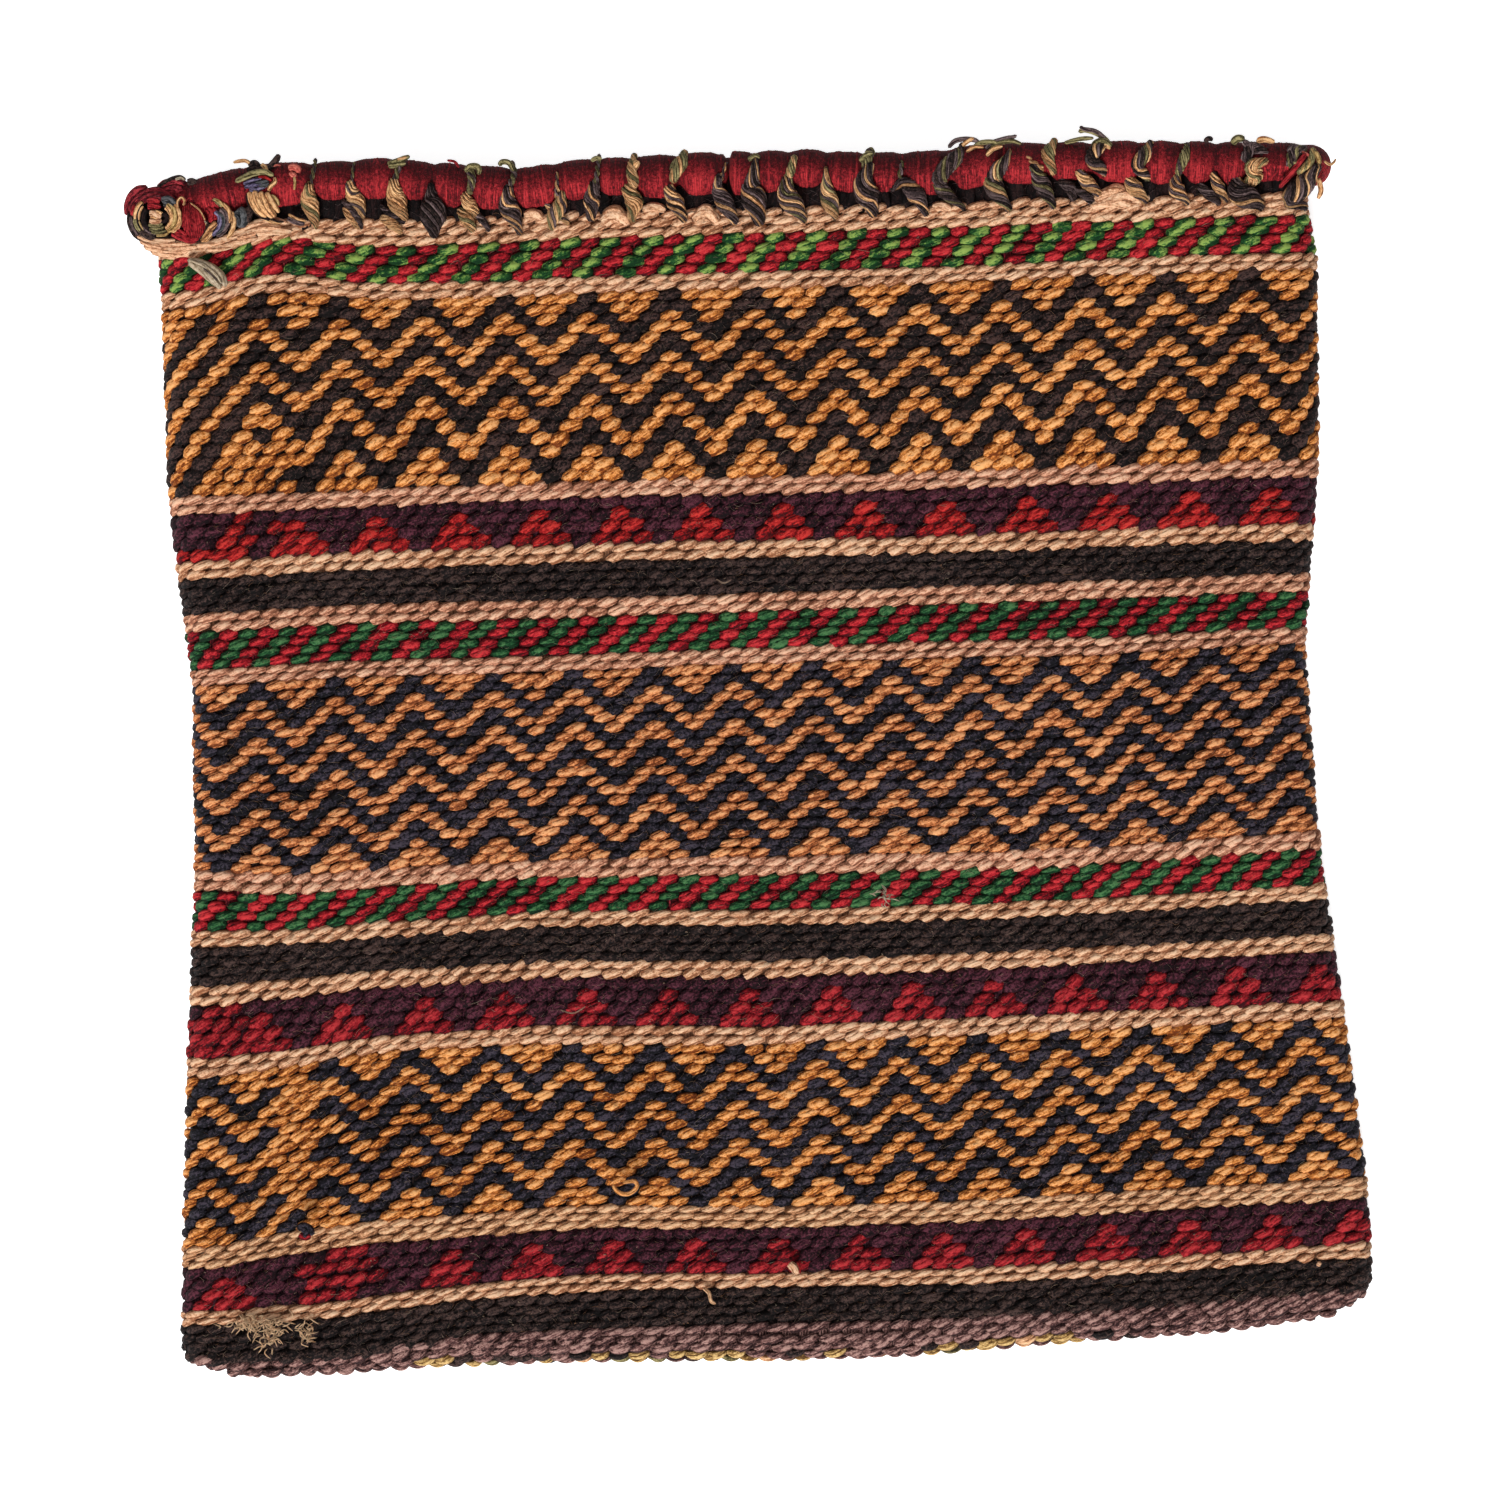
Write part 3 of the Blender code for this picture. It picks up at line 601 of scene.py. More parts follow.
def hemYarn(row, x):
    across, number = pictureX(x, rowHeight(row, x / row["half"])), row["number"]
    pick = chance.choice(len(mixedYarns), p=mixedShares)
    if number < len(lowBlack) and lowBlack[number][0] < across < lowBlack[number][1] and abs(x) < row["half"]:
        return "coal"
    shown = any(low < across < high for low, high in mixedStretches) or abs(x) > 1.1 * row["half"]
    return mixedYarns[pick] if shown and number > 2 else "mauve"


# Where a ring place shows from above, on the front or on the half of a fold that is in view
def seenX(row, along):
    past = min(max(abs(along) - row["half"], 0) / row["radius"], math.pi / 2)
    return math.copysign(min(abs(along), row["half"]) + row["radius"] * math.sin(past), along)


# All stitches of one row, as a list of (ring place, yarn, shade)
def planRow(row):
    band = None if row["edge"] is None else bands[row["edge"]]
    peak, stretch = (band.peak * mm, band.stretch) if band else (0, 0)
    length, count = ringLength(row), cloth["stitchesRound"]
    plan = []
    for number, shade in enumerate(shades(count)):
        turn = 2 * number + row["number"] % 2
        along = peak + turn * length / (2 * count)
        along = along + stretch * length / tau * math.sin(tau * (along - peak) / length)
        along = (along + length / 2) % length - length / 2
        yarn = stitchYarn(band, row["number"], turn % repeat) if band else hemYarn(row, along)
        if band and abs(along) < row["half"] + row["radius"] * math.pi / 2:
            yarn = slipYarn(band, row, turn % repeat, seenX(row, along)) or yarn
        plan.append((along, yarn, shade))
    return plan


regions = ("frontLeft", "frontRight", "leftFold", "rightFold", "back")


def regionOf(row, along):
    if abs(along) < row["half"]:
        return "frontLeft" if along < 0 else "frontRight"
    if abs(along) < row["half"] + math.pi * row["radius"]:
        return "leftFold" if along < 0 else "rightFold"
    return "back"


# Bends a grain into its place for many stitches of one row at once
def bendGrains(row, shape, form, places, inside=False):
    along = shape["along"][None, :]
    around = shape["around"][None, :] * tau
    full = swell(along)

    def vary(middle, spread):
        return chance.normal(middle, spread, (len(places), 1))

    size = vary(1, form["unevenness"])
    slant = row["pitch"] * form["slant"] * vary(1, 0.25)
    width = row["pitch"] * form["halfWidth"] * size * full
    thick = form["halfThick"] * full * vary(1, 0.06)
    reach = ringLength(row) / cloth["stitchesRound"] * form["halfLength"] * along * vary(1, 0.07)
    reach = reach + vary(0, form["astray"][0])
    rise = (-1 if inside else 1) * slant * np.sin(math.pi / 2 * along) + width * np.sin(around)
    rise = rise + vary(0, form["astray"][1])
    out = form["base"] + form["arch"] * (1 - along ** 2) + thick * np.cos(around)
    out = out + vary(0, form["astray"][2])
    if inside:
        out = 2 * (cloth["weftDepth"] - cloth["wall"] / 2) - out
    return onRing(row, np.array(places)[:, None] + reach, rise, out)


def link(name, mesh):
    piece = bpy.data.objects.new(name, mesh)
    bpy.context.scene.collection.objects.link(piece)
    return piece


def setValues(mesh, name, kind, values):
    field = "value" if kind == "FLOAT" else "vector"
    mesh.attributes.new(name, kind, "POINT").data.foreach_set(field, values.astype(np.float32).ravel())


bakeMargin = 0.06    # round each cell of the bake map


# Collects grains, then writes one mesh. Each grain has its own cell of the bake map
class Knit:
    def __init__(self):
        self.points, self.places, self.creases, self.corners, self.cells = [], [], [], [], []
        self.faces, self.slots, self.yarns = [], [], []
        self.total, self.count = 0, 0

    def slotOf(self, yarn):
        if yarn not in self.yarns:
            self.yarns.append(yarn)
        return self.yarns.index(yarn)

    def addGrains(self, points, shape, yarnNames, tones, reach, crease=0.0):
        count, size = points.shape[:2]
        if not count:
            return
        place = np.zeros((count, size, 3))
        place[:, :, 0] = shape["along"][None, :] * reach
        place[:, :, 1] = shape["around"][None, :] + 0.5
        place[:, :, 2] = np.array(tones).reshape(count, -1)
        self.points.append(points.reshape(-1, 3))
        self.places.append(place.reshape(-1, 3))
        self.creases.append(np.tile(crease * shape["crease"], count))
        for number, yarn in enumerate(yarnNames):
            start = self.total + number * size
            self.faces += [[start + corner for corner in face] for face in shape["faces"]]
            self.slots += [self.slotOf(yarn)] * len(shape["faces"])
        self.corners.append(np.tile(shape["corners"], (count, 1)))
        self.cells.append(np.repeat(np.arange(self.count, self.count + count), len(shape["corners"])))
        self.count += count
        self.total += count * size

    def finish(self, name):
        mesh = bpy.data.meshes.new(name)
        mesh.from_pydata(np.concatenate(self.points), [], self.faces)
        setValues(mesh, "yarnPlace", "FLOAT_VECTOR", np.concatenate(self.places))
        setValues(mesh, "crease", "FLOAT", np.concatenate(self.creases))
        mesh.polygons.foreach_set("material_index", self.slots)
        mesh.polygons.foreach_set("use_smooth", [True] * len(self.slots))
        wide = math.ceil(math.sqrt(self.count / 2))
        high = math.ceil(self.count / wide)
        corners, cells = np.concatenate(self.corners), np.concatenate(self.cells)
        corners = bakeMargin + (1 - 2 * bakeMargin) * corners + np.stack((cells % wide, cells // wide), -1)
        layer = mesh.uv_layers.new(name="OFBake")
        layer.data.foreach_set("uv", (corners / (wide, high)).astype(np.float32).ravel())
        for yarn in self.yarns:
            mesh.materials.append(materials[yarn])
        mesh.update()
        return link(name, mesh)


# What a piece moves with and replaces. The front, end -1 at its left and 1 at its
# right, keeps its place, and all else, end 0, is part of the back
def dress(piece, end, node):
    if end:
        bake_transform(piece)
    else:
        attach(piece, "bag_back")
    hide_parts(node)


regionEnds = {"frontLeft": -1, "frontRight": 1, "leftFold": 0, "rightFold": 0, "back": 0}
stitchGrain, backGrain, insideGrain = (7, 8), (5, 6), (4, 5)
insideReach = 90 * mm
knits = {}
for row in rows:
    plan = planRow(row)
    form = stitchShapes.get(row["band"].split("_")[0], stitchShape)
    reach = ringLength(row) / cloth["stitchesRound"] * form["halfLength"]
    for region in regions:
        part = [entry for entry in plan if regionOf(row, entry[0]) == region]
        places, names, tones = ([entry[item] for entry in part] for item in range(3))
        knit = knits.setdefault(region if region.endswith("Fold") else (region, row["band"]), Knit())
        shape = grain(*(backGrain if region == "back" else stitchGrain))
        knit.addGrains(bendGrains(row, shape, form, places), shape, names, tones, reach, 1.0)
        if row["edge"] is not None and rowHeight(row, 0) > mouthY - insideReach and part:
            shape = grain(*insideGrain)
            knit.addGrains(bendGrains(row, shape, form, places, True), shape, names, tones, reach, 1.0)
print("stitches laid in", len(knits), "pieces")


# Strands: a grain bent along a path

def pathLength(path):
    return np.concatenate(([0], np.cumsum(np.linalg.norm(np.diff(path, axis=0), axis=1))))


# Points of a path, read off at places counted as numbers count them
def pointsAt(place, numbers, path):
    return np.stack([np.interp(place, numbers, line) for line in path.T], -1)


# Points at a half thickness and a turn off the middle of a path
def offPath(middle, up, across, thick, turn):
    return middle + (thick * np.cos(turn))[:, None] * up + (thick * np.sin(turn))[:, None] * across


def smoothPath(controls, count=41):
    controls = np.array(controls, float)
    ends = np.vstack((2 * controls[0] - controls[1], controls, 2 * controls[-1] - controls[-2]))
    place = np.linspace(0, len(controls) - 1, 6 * count)
    first = np.minimum(place.astype(int), len(controls) - 2)
    part = (place - first)[:, None]
    a, b, c, d = (ends[first + number] for number in range(4))
    path = 0.5 * (2 * b + (c - a) * part + (2 * a - 5 * b + 4 * c - d) * part ** 2
                  + (3 * b - a - 3 * c + d) * part ** 3)
    gone = pathLength(path)
    return pointsAt(np.linspace(0, gone[-1], count), gone, path)


def pathFrame(path):
    heading = np.gradient(path, axis=0)
    heading /= np.maximum(np.linalg.norm(heading, axis=1), 1e-9)[:, None]
    steep = abs(heading[0][2]) >= 0.8
    side = np.array((1.0, 0.1, 0.05) if steep else (0.12, 0.05, 1.0))
    sides = []
    for tangent in heading:
        side = side - tangent * (side @ tangent)
        side = side / np.linalg.norm(side)
        sides.append(side)
    return np.array(sides), np.cross(heading, np.array(sides))


def layStrand(knit, path, thick, yarn, tone, sides=6, steps=24):
    shape = grain(sides, steps)
    last = len(path) - 1
    place = (shape["along"] + 1) / 2 * last
    middle, up, across = (pointsAt(place, np.arange(last + 1), line) for line in (path, *pathFrame(path)))
    thick = np.interp(place, np.linspace(0, last, len(thick)), thick) * (np.abs(shape["along"]) < 0.999)
    points = offPath(middle, up, across, thick, shape["around"] * tau)
    knit.addGrains(points[None], shape, [yarn], [tone], pathLength(path)[-1] / 2)


# A twisted cord: thick gives its half thickness along the way, plies the yarn of each ply, and
# share the thickness of a ply
def layCord(knit, controls, thick, plies, lay, share, start=0.0, steps=26, count=61):
    path = smoothPath(controls, count)
    up, across = pathFrame(path)
    thick = np.interp(np.linspace(0, 1, len(path)), np.linspace(0, 1, len(thick)), np.array(thick, float))
    for number, yarn in enumerate(plies):
        turn = tau * (pathLength(path) / lay + number / len(plies)) + start
        ply = offPath(path, up, across, thick * (1 - share), turn)
        layStrand(knit, ply, thick * share * chance.normal(1, 0.05), yarn, chance.normal(0.5, 0.12), 5, steps)


# The wall's warps, seen only between the stitches: one slab per region, in dark yarns of its bands as painted
# shade between the stitches

def regionRange(row, region):
    half, bend = row["half"], math.pi * row["radius"]
    return {"frontLeft": (-half, 0), "frontRight": (0, half), "rightFold": (half, half + bend),
            "leftFold": (-half - bend, -half), "back": (half + bend, 3 * half + bend)}[region]


still = (0, 0, 0)
# each band's slab yarn, dark at a low tone, is painted shade between its stitches
gapShadeYarns = {"cream": "dusk", "tan": "dusk", "redgreen": "wine", "black": "coal", "triangles": "purple",
               "zigzag": "black", "bottom": "mauve"}
ground = {"outer": -0.25 * mm, "dent": 0.35 * mm, "thick": 0.6 * mm, "tone": 0.3, "strand": 4 * mm}
groundHem = ((0, 2.4), (0, 4.8), (30, 4.8), (60, 4.8), (89, 4.8))


# Lines of the slab: one over each row's middle and one over each gap between two rows
def groundRows():
    last = len(bands) - 1
    made = [(bodyRow(number, step / 2 - 0.5, still), step % 2)
            for number, band in enumerate(bands) for step in range(2 * band.rows)]
    made.append((bodyRow(last, bands[last].rows - 0.5, still), 0))
    return made + [(hemRow(0, *place, still), 1) for place in groundHem]


def makeGround(name, region, count):
    lines = groundRows()
    sheet = bmesh.new()
    bmesh.ops.create_grid(sheet, x_segments=count, y_segments=len(lines) - 1, size=1)
    outerVerts = len(sheet.verts)
    bmesh.ops.extrude_face_region(sheet, geom=sheet.faces[:])
    bmesh.ops.recalc_face_normals(sheet, faces=sheet.faces[:])
    sheet.verts.index_update()
    spots = np.array([vert.co[:] for vert in sheet.verts])
    line = np.round((1 - spots[:, 1]) / 2 * (len(lines) - 1)).astype(int)
    part = (spots[:, 0] + 1) / 2
    inner = np.arange(len(spots)) >= outerVerts
    placed = np.zeros_like(spots)
    for number, (row, onWeft) in enumerate(lines):
        pick = line == number
        low, high = regionRange(row, region)
        out = ground["outer"] - (0 if onWeft else ground["dent"]) - ground["thick"] * inner[pick]
        placed[pick] = onRing(row, low + (high - low) * part[pick], 0 * out, out)
    names = [gapShadeYarns[row["band"].split("_")[0]] for row, _ in lines]
    slots = sorted(set(names))
    for vert, place in zip(sheet.verts, placed):
        vert.co = place
    for face in sheet.faces:
        face.material_index = slots.index(names[min(line[vert.index] for vert in face.verts)])
        face.smooth = True
    bmesh.ops.recalc_face_normals(sheet, faces=sheet.faces[:])
    mesh = bpy.data.meshes.new(name)
    sheet.to_mesh(mesh)
    sheet.free()
    places = (placed[:, 1], placed[:, 0] / ground["strand"], np.full(len(placed), ground["tone"]))
    setValues(mesh, "yarnPlace", "FLOAT_VECTOR", np.stack(places, -1))
    for yarn in slots:
        mesh.materials.append(materials[yarn])
    return link(name, mesh)


for region, count, node, slot in (
        ("frontLeft", 28, "front_warps", "undyed_yarn"), ("frontRight", 28, "front_warps", "undyed_yarn"),
        ("back", 40, "back_warps", "undyed_yarn"), ("leftFold", 8, "left_side_fold", "fold_yarn"),
        ("rightFold", 8, "right_side_fold", "fold_yarn")):
    dress(makeGround("warps_" + region, region, count), regionEnds[region], node)
print("warps laid")


# Rim: rolls wrapped in fine yarn, pinched by the whip stitches

rim = {
    "radius": 6.0 * mm,
    "swell": 0.7 * mm,
    "gap": 7.2 * mm,
    "strand": 0.8 * mm,       # width of one wrap
    "ridge": 0.17 * mm,
    "lift": 0.06 * mm,        # how far single wraps and bundles of them stand out
    "pinch": 1.5 * mm,
    "pinchWidth": 2.6 * mm,
    "pinchRise": 0.75 * mm,
    "drop": 0.45 * mm,        # how far the roll hangs below its line
    "endRound": 1.5 * mm,
    "taperAt": (-205, -190, -180),
    "taper": (0.7, 0.85, 1.0),
    "points": 400,
    "frontZ": 26.0 * mm,
    "backZ": 6.4 * mm,
    "picture": (176, 30),     # where the pinches are read in the picture: down, and height in mm
}
# How the roll waves up and down, and sinks to the knob: (across, rise), in mm
rimWaves = ((-205, -7), (-178, -3), (-165, 0.5), (-137, 0.5), (-122, 1.5), (-72, -3.5), (-55, -1), (-5, 0.5),
            (30, 0.5), (45, -1), (72, -1), (88, 1), (147, 0.5), (208, -2))
rimSinks = ((-204, 6.5), (-190, 2.0), (-180, 0))

# Cords of the whip stitches on the front: a letter for the yarn of each ply, then places in the
# picture with the half thickness there in mm. Threads pass over the roll, fat legs hang below it
cordYarns = {"t": "marlTan", "b": "marlBrown", "o": "marlOlive", "i": "coal", "g": "marlGold"}
rimCords = (
    ("ob", (315, 161, 0.9), (313, 172, 1), (311, 182, 0.9)),
    ("ttto", (309, 186, 1.6), (308, 196, 3), (311, 208, 3.2), (315, 220, 2.4), (316, 226, 1)),
    ("tt", (299, 191, 0.8), (304, 198, 1.2), (309, 207, 1.2), (313, 216, 0.9)),
    ("ob", (353.5, 164, 0.6), (352.5, 173, 0.7), (352, 182, 0.7)),
    ("ttbt", (350, 185, 1.8), (353, 194, 2.8), (359, 204, 2.7), (362, 214, 1.5)),
    ("bib", (344, 202, 1), (351, 209, 1.7), (357, 218, 1.7), (361, 226, 0.8)),
    ("tt", (346, 210, 1.3), (351, 218, 1.7), (357, 226, 1)),
    ("bo", (399, 167, 1.3), (396, 175, 1.1), (395, 183, 1.1)),
    ("tttt", (393.5, 183, 2), (395.5, 195, 3.4), (398.5, 206, 3.6), (404, 216, 1.8)),
    ("bib", (382, 207, 0.9), (389, 213, 1.5), (396, 218, 1.5), (403, 222, 0.8)),
    ("ttt", (384, 219, 1.6), (391, 223, 2.2), (399, 230, 1.4)),
    ("bibi", (431, 187, 1.4), (432, 198, 2.8), (433, 212, 4.7), (433, 222, 4.8), (434, 232, 2.2)),
    ("obo", (470, 170, 1.6), (472, 180, 1.6), (470, 190, 1.4)),
    ("ttt", (465, 196, 1.8), (469, 204, 2.7), (475, 213, 1.8)),
    ("tot", (461, 212, 1.6), (467, 220, 2.5), (472, 228, 1.5)),
    ("bi", (476, 213, 1.2), (483, 221, 1.5), (488, 228, 1)),
    ("ob", (512, 164, 1.2), (514, 174, 1.3), (511, 184, 1.3)),
    ("btbi", (508, 190, 2), (508, 204, 3.7), (514, 218, 3.4), (519, 230, 1.6)),
    ("tb", (557, 174, 0.6), (557, 186, 0.9), (557, 195, 1.2)),
    ("totb", (562, 194, 1.4), (560, 205, 2.7), (554, 216, 3.1), (552, 225, 1.8)),
    ("ttb", (546, 204, 1), (556, 213, 1.6), (567, 222, 1)),
    ("bo", (599, 157, 1), (597, 172, 1), (596, 183, 1.2)),
    ("bitb", (594, 186, 2.2), (592, 199, 3.3), (591, 215, 2.2)),
    ("tot", (634, 157, 1.4), (631, 170, 1.7), (634, 182, 2.2)),
    ("ttot", (627, 189, 2.4), (634, 201, 3.4), (632, 217, 1.8)),
    ("oto", (684, 154, 1.6), (680, 164, 2.7), (674, 177, 2)),
    ("tbti", (668, 187, 2.2), (674, 200, 3.3), (683, 217, 1.9)),
    ("tb", (726, 164, 0.6), (722, 176, 0.9)),
    ("btbb", (719, 178, 1.6), (717, 188, 2.6), (725, 203, 3.5), (734, 219, 2)),
    ("bibt", (756, 158, 1.2), (754, 172, 2.2), (751, 187, 3.8), (755, 203, 4.8), (759, 219, 2.8)),
    ("ot", (794, 159, 1.4), (790, 173, 1.7)),
    ("tbob", (787, 180, 2.2), (787, 195, 3.9), (797, 209, 3.8), (803, 218, 1.8)),
    ("ttbo", (826, 169, 0.8), (826, 180, 1.6), (828, 194, 2.9), (832, 208, 3.3), (835, 215, 1.6)),
    ("oob", (870, 153, 2), (866, 164, 1.8)),
    ("bibt", (869, 167, 2), (864, 182, 3.7), (868, 198, 4.7), (873, 211, 2.4)),
    ("bo", (902, 163, 0.8), (900, 175, 1.1)),
    ("bbti", (892, 188, 1.4), (904, 183, 2.8), (916, 194, 3.6), (925, 211, 1.8)),
    ("ibob", (962, 146, 1.4), (957, 156, 3), (944, 170, 3.1), (939, 184, 3.1), (951, 198, 2.6),
     (963, 207, 1.2)),
    ("biot", (1010, 151, 1), (1004, 162, 2.7), (993, 178, 3.5), (996, 191, 3.6), (1008, 207, 1.8)),
    ("ott", (1054, 142, 1.5), (1048, 154, 2.7), (1053, 170, 1.6)),
    ("tt", (1027, 157, 0.9), (1034, 163, 1.1), (1042, 168, 0.9)),
    ("biob", (1033, 167, 1.8), (1040, 180, 3.1), (1047, 194, 3.1), (1053, 205, 1.4)),
    ("bib", (1062, 182, 1.6), (1070, 188, 2.4), (1073, 197, 1.4)),
    ("ibt", (1105, 146, 1.8), (1096, 150, 2.7), (1092, 160, 2.5), (1101, 168, 2.4), (1105, 174, 1.2)),
    ("ttb", (1079, 172, 1.8), (1087, 182, 2.7), (1098, 193, 1.8)),
    ("bi", (1078, 191, 1.4), (1090, 199, 1.7)),
    ("ibto", (1150, 144, 1.5), (1144, 155, 2.7), (1137, 166, 2.3), (1147, 176, 2)),
    ("ttbt", (1127, 175, 1.8), (1133, 186, 3.1), (1144, 199, 1.8)),
    ("oob", (1187, 146, 1.2), (1184, 158, 2.1), (1179, 171, 1.6)),
    ("tbtb", (1176, 176, 1.8), (1176, 188, 3.1), (1186, 201, 1.5)),
    ("ttb", (1213, 175, 1.5), (1218, 186, 2.4), (1225, 199, 1.3)),
    ("bib", (1201, 187, 1.6), (1209, 194, 2.2), (1218, 202, 1.2)),
    ("bib", (1264, 152, 1.8), (1252, 148, 2.5), (1246, 157, 2)),
    ("tott", (1265, 161, 1.5), (1252, 166, 2.7), (1256, 175, 3), (1249, 183, 2.4)),
    ("bbit", (1235, 179, 2.4), (1239, 192, 4.3), (1251, 199, 4.4), (1259, 205, 2.4)),
    ("bio", (1303, 149, 1.5), (1294, 152, 2.4), (1290, 163, 1.6)),
    ("btib", (1317, 168, 1.8), (1307, 180, 3.8), (1296, 192, 4.3), (1289, 200, 3), (1304, 206, 1.8)),
    ("og", (1313, 151, 1.2), (1310, 162, 1.5), (1300, 171, 1.2)),
)
pinchPlaces = (249, 312, 353, 396, 432, 470, 511, 557, 597, 632, 678, 722, 754, 790, 826, 867, 903, 950, 998,
               1049, 1094, 1143, 1183, 1217, 1250, 1303)
pinches = [spot(place, *rim["picture"])[0] for place in pinchPlaces]


def rimShare(x):
    return x / (outlineHalf(mouthY) - foldRadius(mouthY))


def rimY(x):
    return mouthY + rim["gap"] + rim["radius"] - cloth["rowTilt"] * rimShare(x)


# Height up the bag of the roll's middle
def rollY(x):
    return rimY(x) + readOff(rimWaves, x)


# One roll along controls: ridged by its strands, pinched at the given places across
def layRoll(knit, controls, places, steps, sides):
    path = smoothPath(controls, rim["points"])
    gone = pathLength(path)
    shape = grain(sides, steps)
    place = (shape["along"] + 1) / 2 * gone[-1]
    centre, up, across = (pointsAt(place, gone, line) for line in (path, *pathFrame(path)))
    x = centre[:, 0]
    turn = shape["around"] * tau
    dip = np.max([np.exp(-((x - pinched) / rim["pinchWidth"]) ** 2) for pinched in places], 0)
    radius = rim["radius"] + rim["swell"] - dip * rim["pinch"]
    radius = radius * np.interp(x, np.array(rim["taperAt"]) * mm, rim["taper"])
    # the wraps lie a little unevenly, each and in bundles of five
    slow = 0.35 * np.sin(place / (9 * mm)) + 0.4 * np.sin(place / (3.7 * mm) + 1) + 0.12 * np.sin(turn * 3)
    strand = place / rim["strand"] + slow + 0.5 * turn / math.pi
    ridge = np.abs(np.sin(math.pi * strand)) ** 0.7
    number = np.floor(strand).astype(int)
    lift = chance.normal(0, 1, 4000)[number % 4000]
    clump = chance.normal(0, 1, 900)[(number // 5) % 900]
    radius = radius + rim["ridge"] * (ridge - 0.5) + rim["lift"] * lift + rim["lift"] * clump
    ends = np.clip((1 - np.abs(shape["along"])) * gone[-1] / 2 / rim["endRound"], 0, 1)
    points = offPath(centre, up, across, radius * np.sqrt(ends), turn)
    points[:, 1] += rim["pinchRise"] * dip - rim["drop"]
    # the wraps hang lower between the whips; their tone darkens at the pinches, and towards the top as
    # painted shade
    height = (points[:, 1] - centre[:, 1]) / rim["radius"]
    sag = 1.0 + 0.8 * np.sin(x / (13 * mm) + 2) + 0.5 * np.sin(x / (5.3 * mm))
    points[:, 1] -= np.clip(-height, 0, 1) ** 2 * (1 - dip) * sag * mm
    tones = 0.60 + 0.10 * lift + 0.06 * clump - 0.2 * dip - 0.55 * np.clip((height + 0.35) / 0.95, 0, 1)
    knit.addGrains(points[None], shape, ["rimRed"], [np.clip(tones, 0.02, 0.98)], gone[-1] / 2)


def rollPoint(x, z):
    return (x * mm, rollY(x * mm), z - readOff(rimSinks, x * mm))


backPlaces = [(-184 + 16 * number) * mm for number in range(24)]
rightTurn = [(199 * mm, rimY(0.196) - 1.5 * mm, 24.5 * mm), (203.5 * mm, rimY(0.2) - 2 * mm, 16 * mm),
             (199 * mm, rimY(0.196) - 1.5 * mm, 8.5 * mm), (190 * mm, rimY(0.19) - 1 * mm, rim["backZ"])]
for name, span, more, z, places, steps, sides, end in (
        ("front_rim_roll_left", range(-200, 1, 10), [], rim["frontZ"], pinches, 840, 26, -1),
        ("front_rim_roll_right", range(0, 191, 10), rightTurn, rim["frontZ"], pinches, 950, 26, 1),
        ("back_rim_roll", range(190, -196, -11), [], rim["backZ"], backPlaces, 1100, 18, 0)):
    knit = Knit()
    layRoll(knit, [rollPoint(x, z) for x in span] + more, places, steps, sides)
    dress(knit.finish(name), end, name.split("_")[0] + "_rim_wrap")
print("rim rolled")


# Warp ends that rise from the cloth into the roll, coloured near black as painted shade under the roll

core = {"apart": 1.9, "thick": np.array((2.2, 2.1, 2.2)) * mm, "foot": 3.5 * mm, "astray": 0.3, "lean": 1.8}


def layRimCore(name, low, high, z, end):
    knit = Knit()
    for x in np.arange(low, high, core["apart"]):
        x = x + chance.normal(0, core["astray"])
        foot, top = float(edgeY(0, rimShare(x * mm))) - core["foot"], rollY(x * mm)
        lean = chance.normal(0, core["lean"])
        bulge = z + chance.normal(0, 0.5) * mm
        path = smoothPath([(x * mm, foot, z), ((x + 0.5 * lean) * mm, (foot + top) / 2 + 1 * mm, bulge),
                           ((x + lean) * mm, top, z)], 9)
        layStrand(knit, path, core["thick"], "gapDark", chance.normal(0.35, 0.15), 5, 7)
    dress(knit.finish(name), end, name.split("_")[0] + "_rim_core")


layRimCore("front_rim_core_left", -186, 0, 24.0 * mm, -1)
layRimCore("front_rim_core_right", 0, 199, 24.0 * mm, 1)
layRimCore("back_rim_core_ends", -186, 190, 6.5 * mm, 0)

cord = {
    "thin": 1.5 * mm,        # below this a cord is laid of its plies alone
    "thinLay": -5 * mm,
    "strand": 0.74 * mm,     # half thickness of one fine strand of a fat leg
    "strandsPerMm": 2.6,
    "lay": -4.6,             # of the thickness
    "sink": 3 * mm,          # how deep its ends go into the cloth
    "back": (0.8 * mm, 0.9 * mm, 1.0 * mm, 2.2 * mm, 2.2 * mm, 1.0 * mm),
}


# How high a cord lies that rests on the roll or on the cloth below it
def restZ(x, y, half):
    off = rollY(x) - rim["drop"] - y
    radius = rim["radius"] - 0.3 * mm
    crown = rim["frontZ"] + math.sqrt(max(radius ** 2 - off ** 2, 0))
    return max(crown, rim["frontZ"] + 1.2 * mm) + 0.5 * half


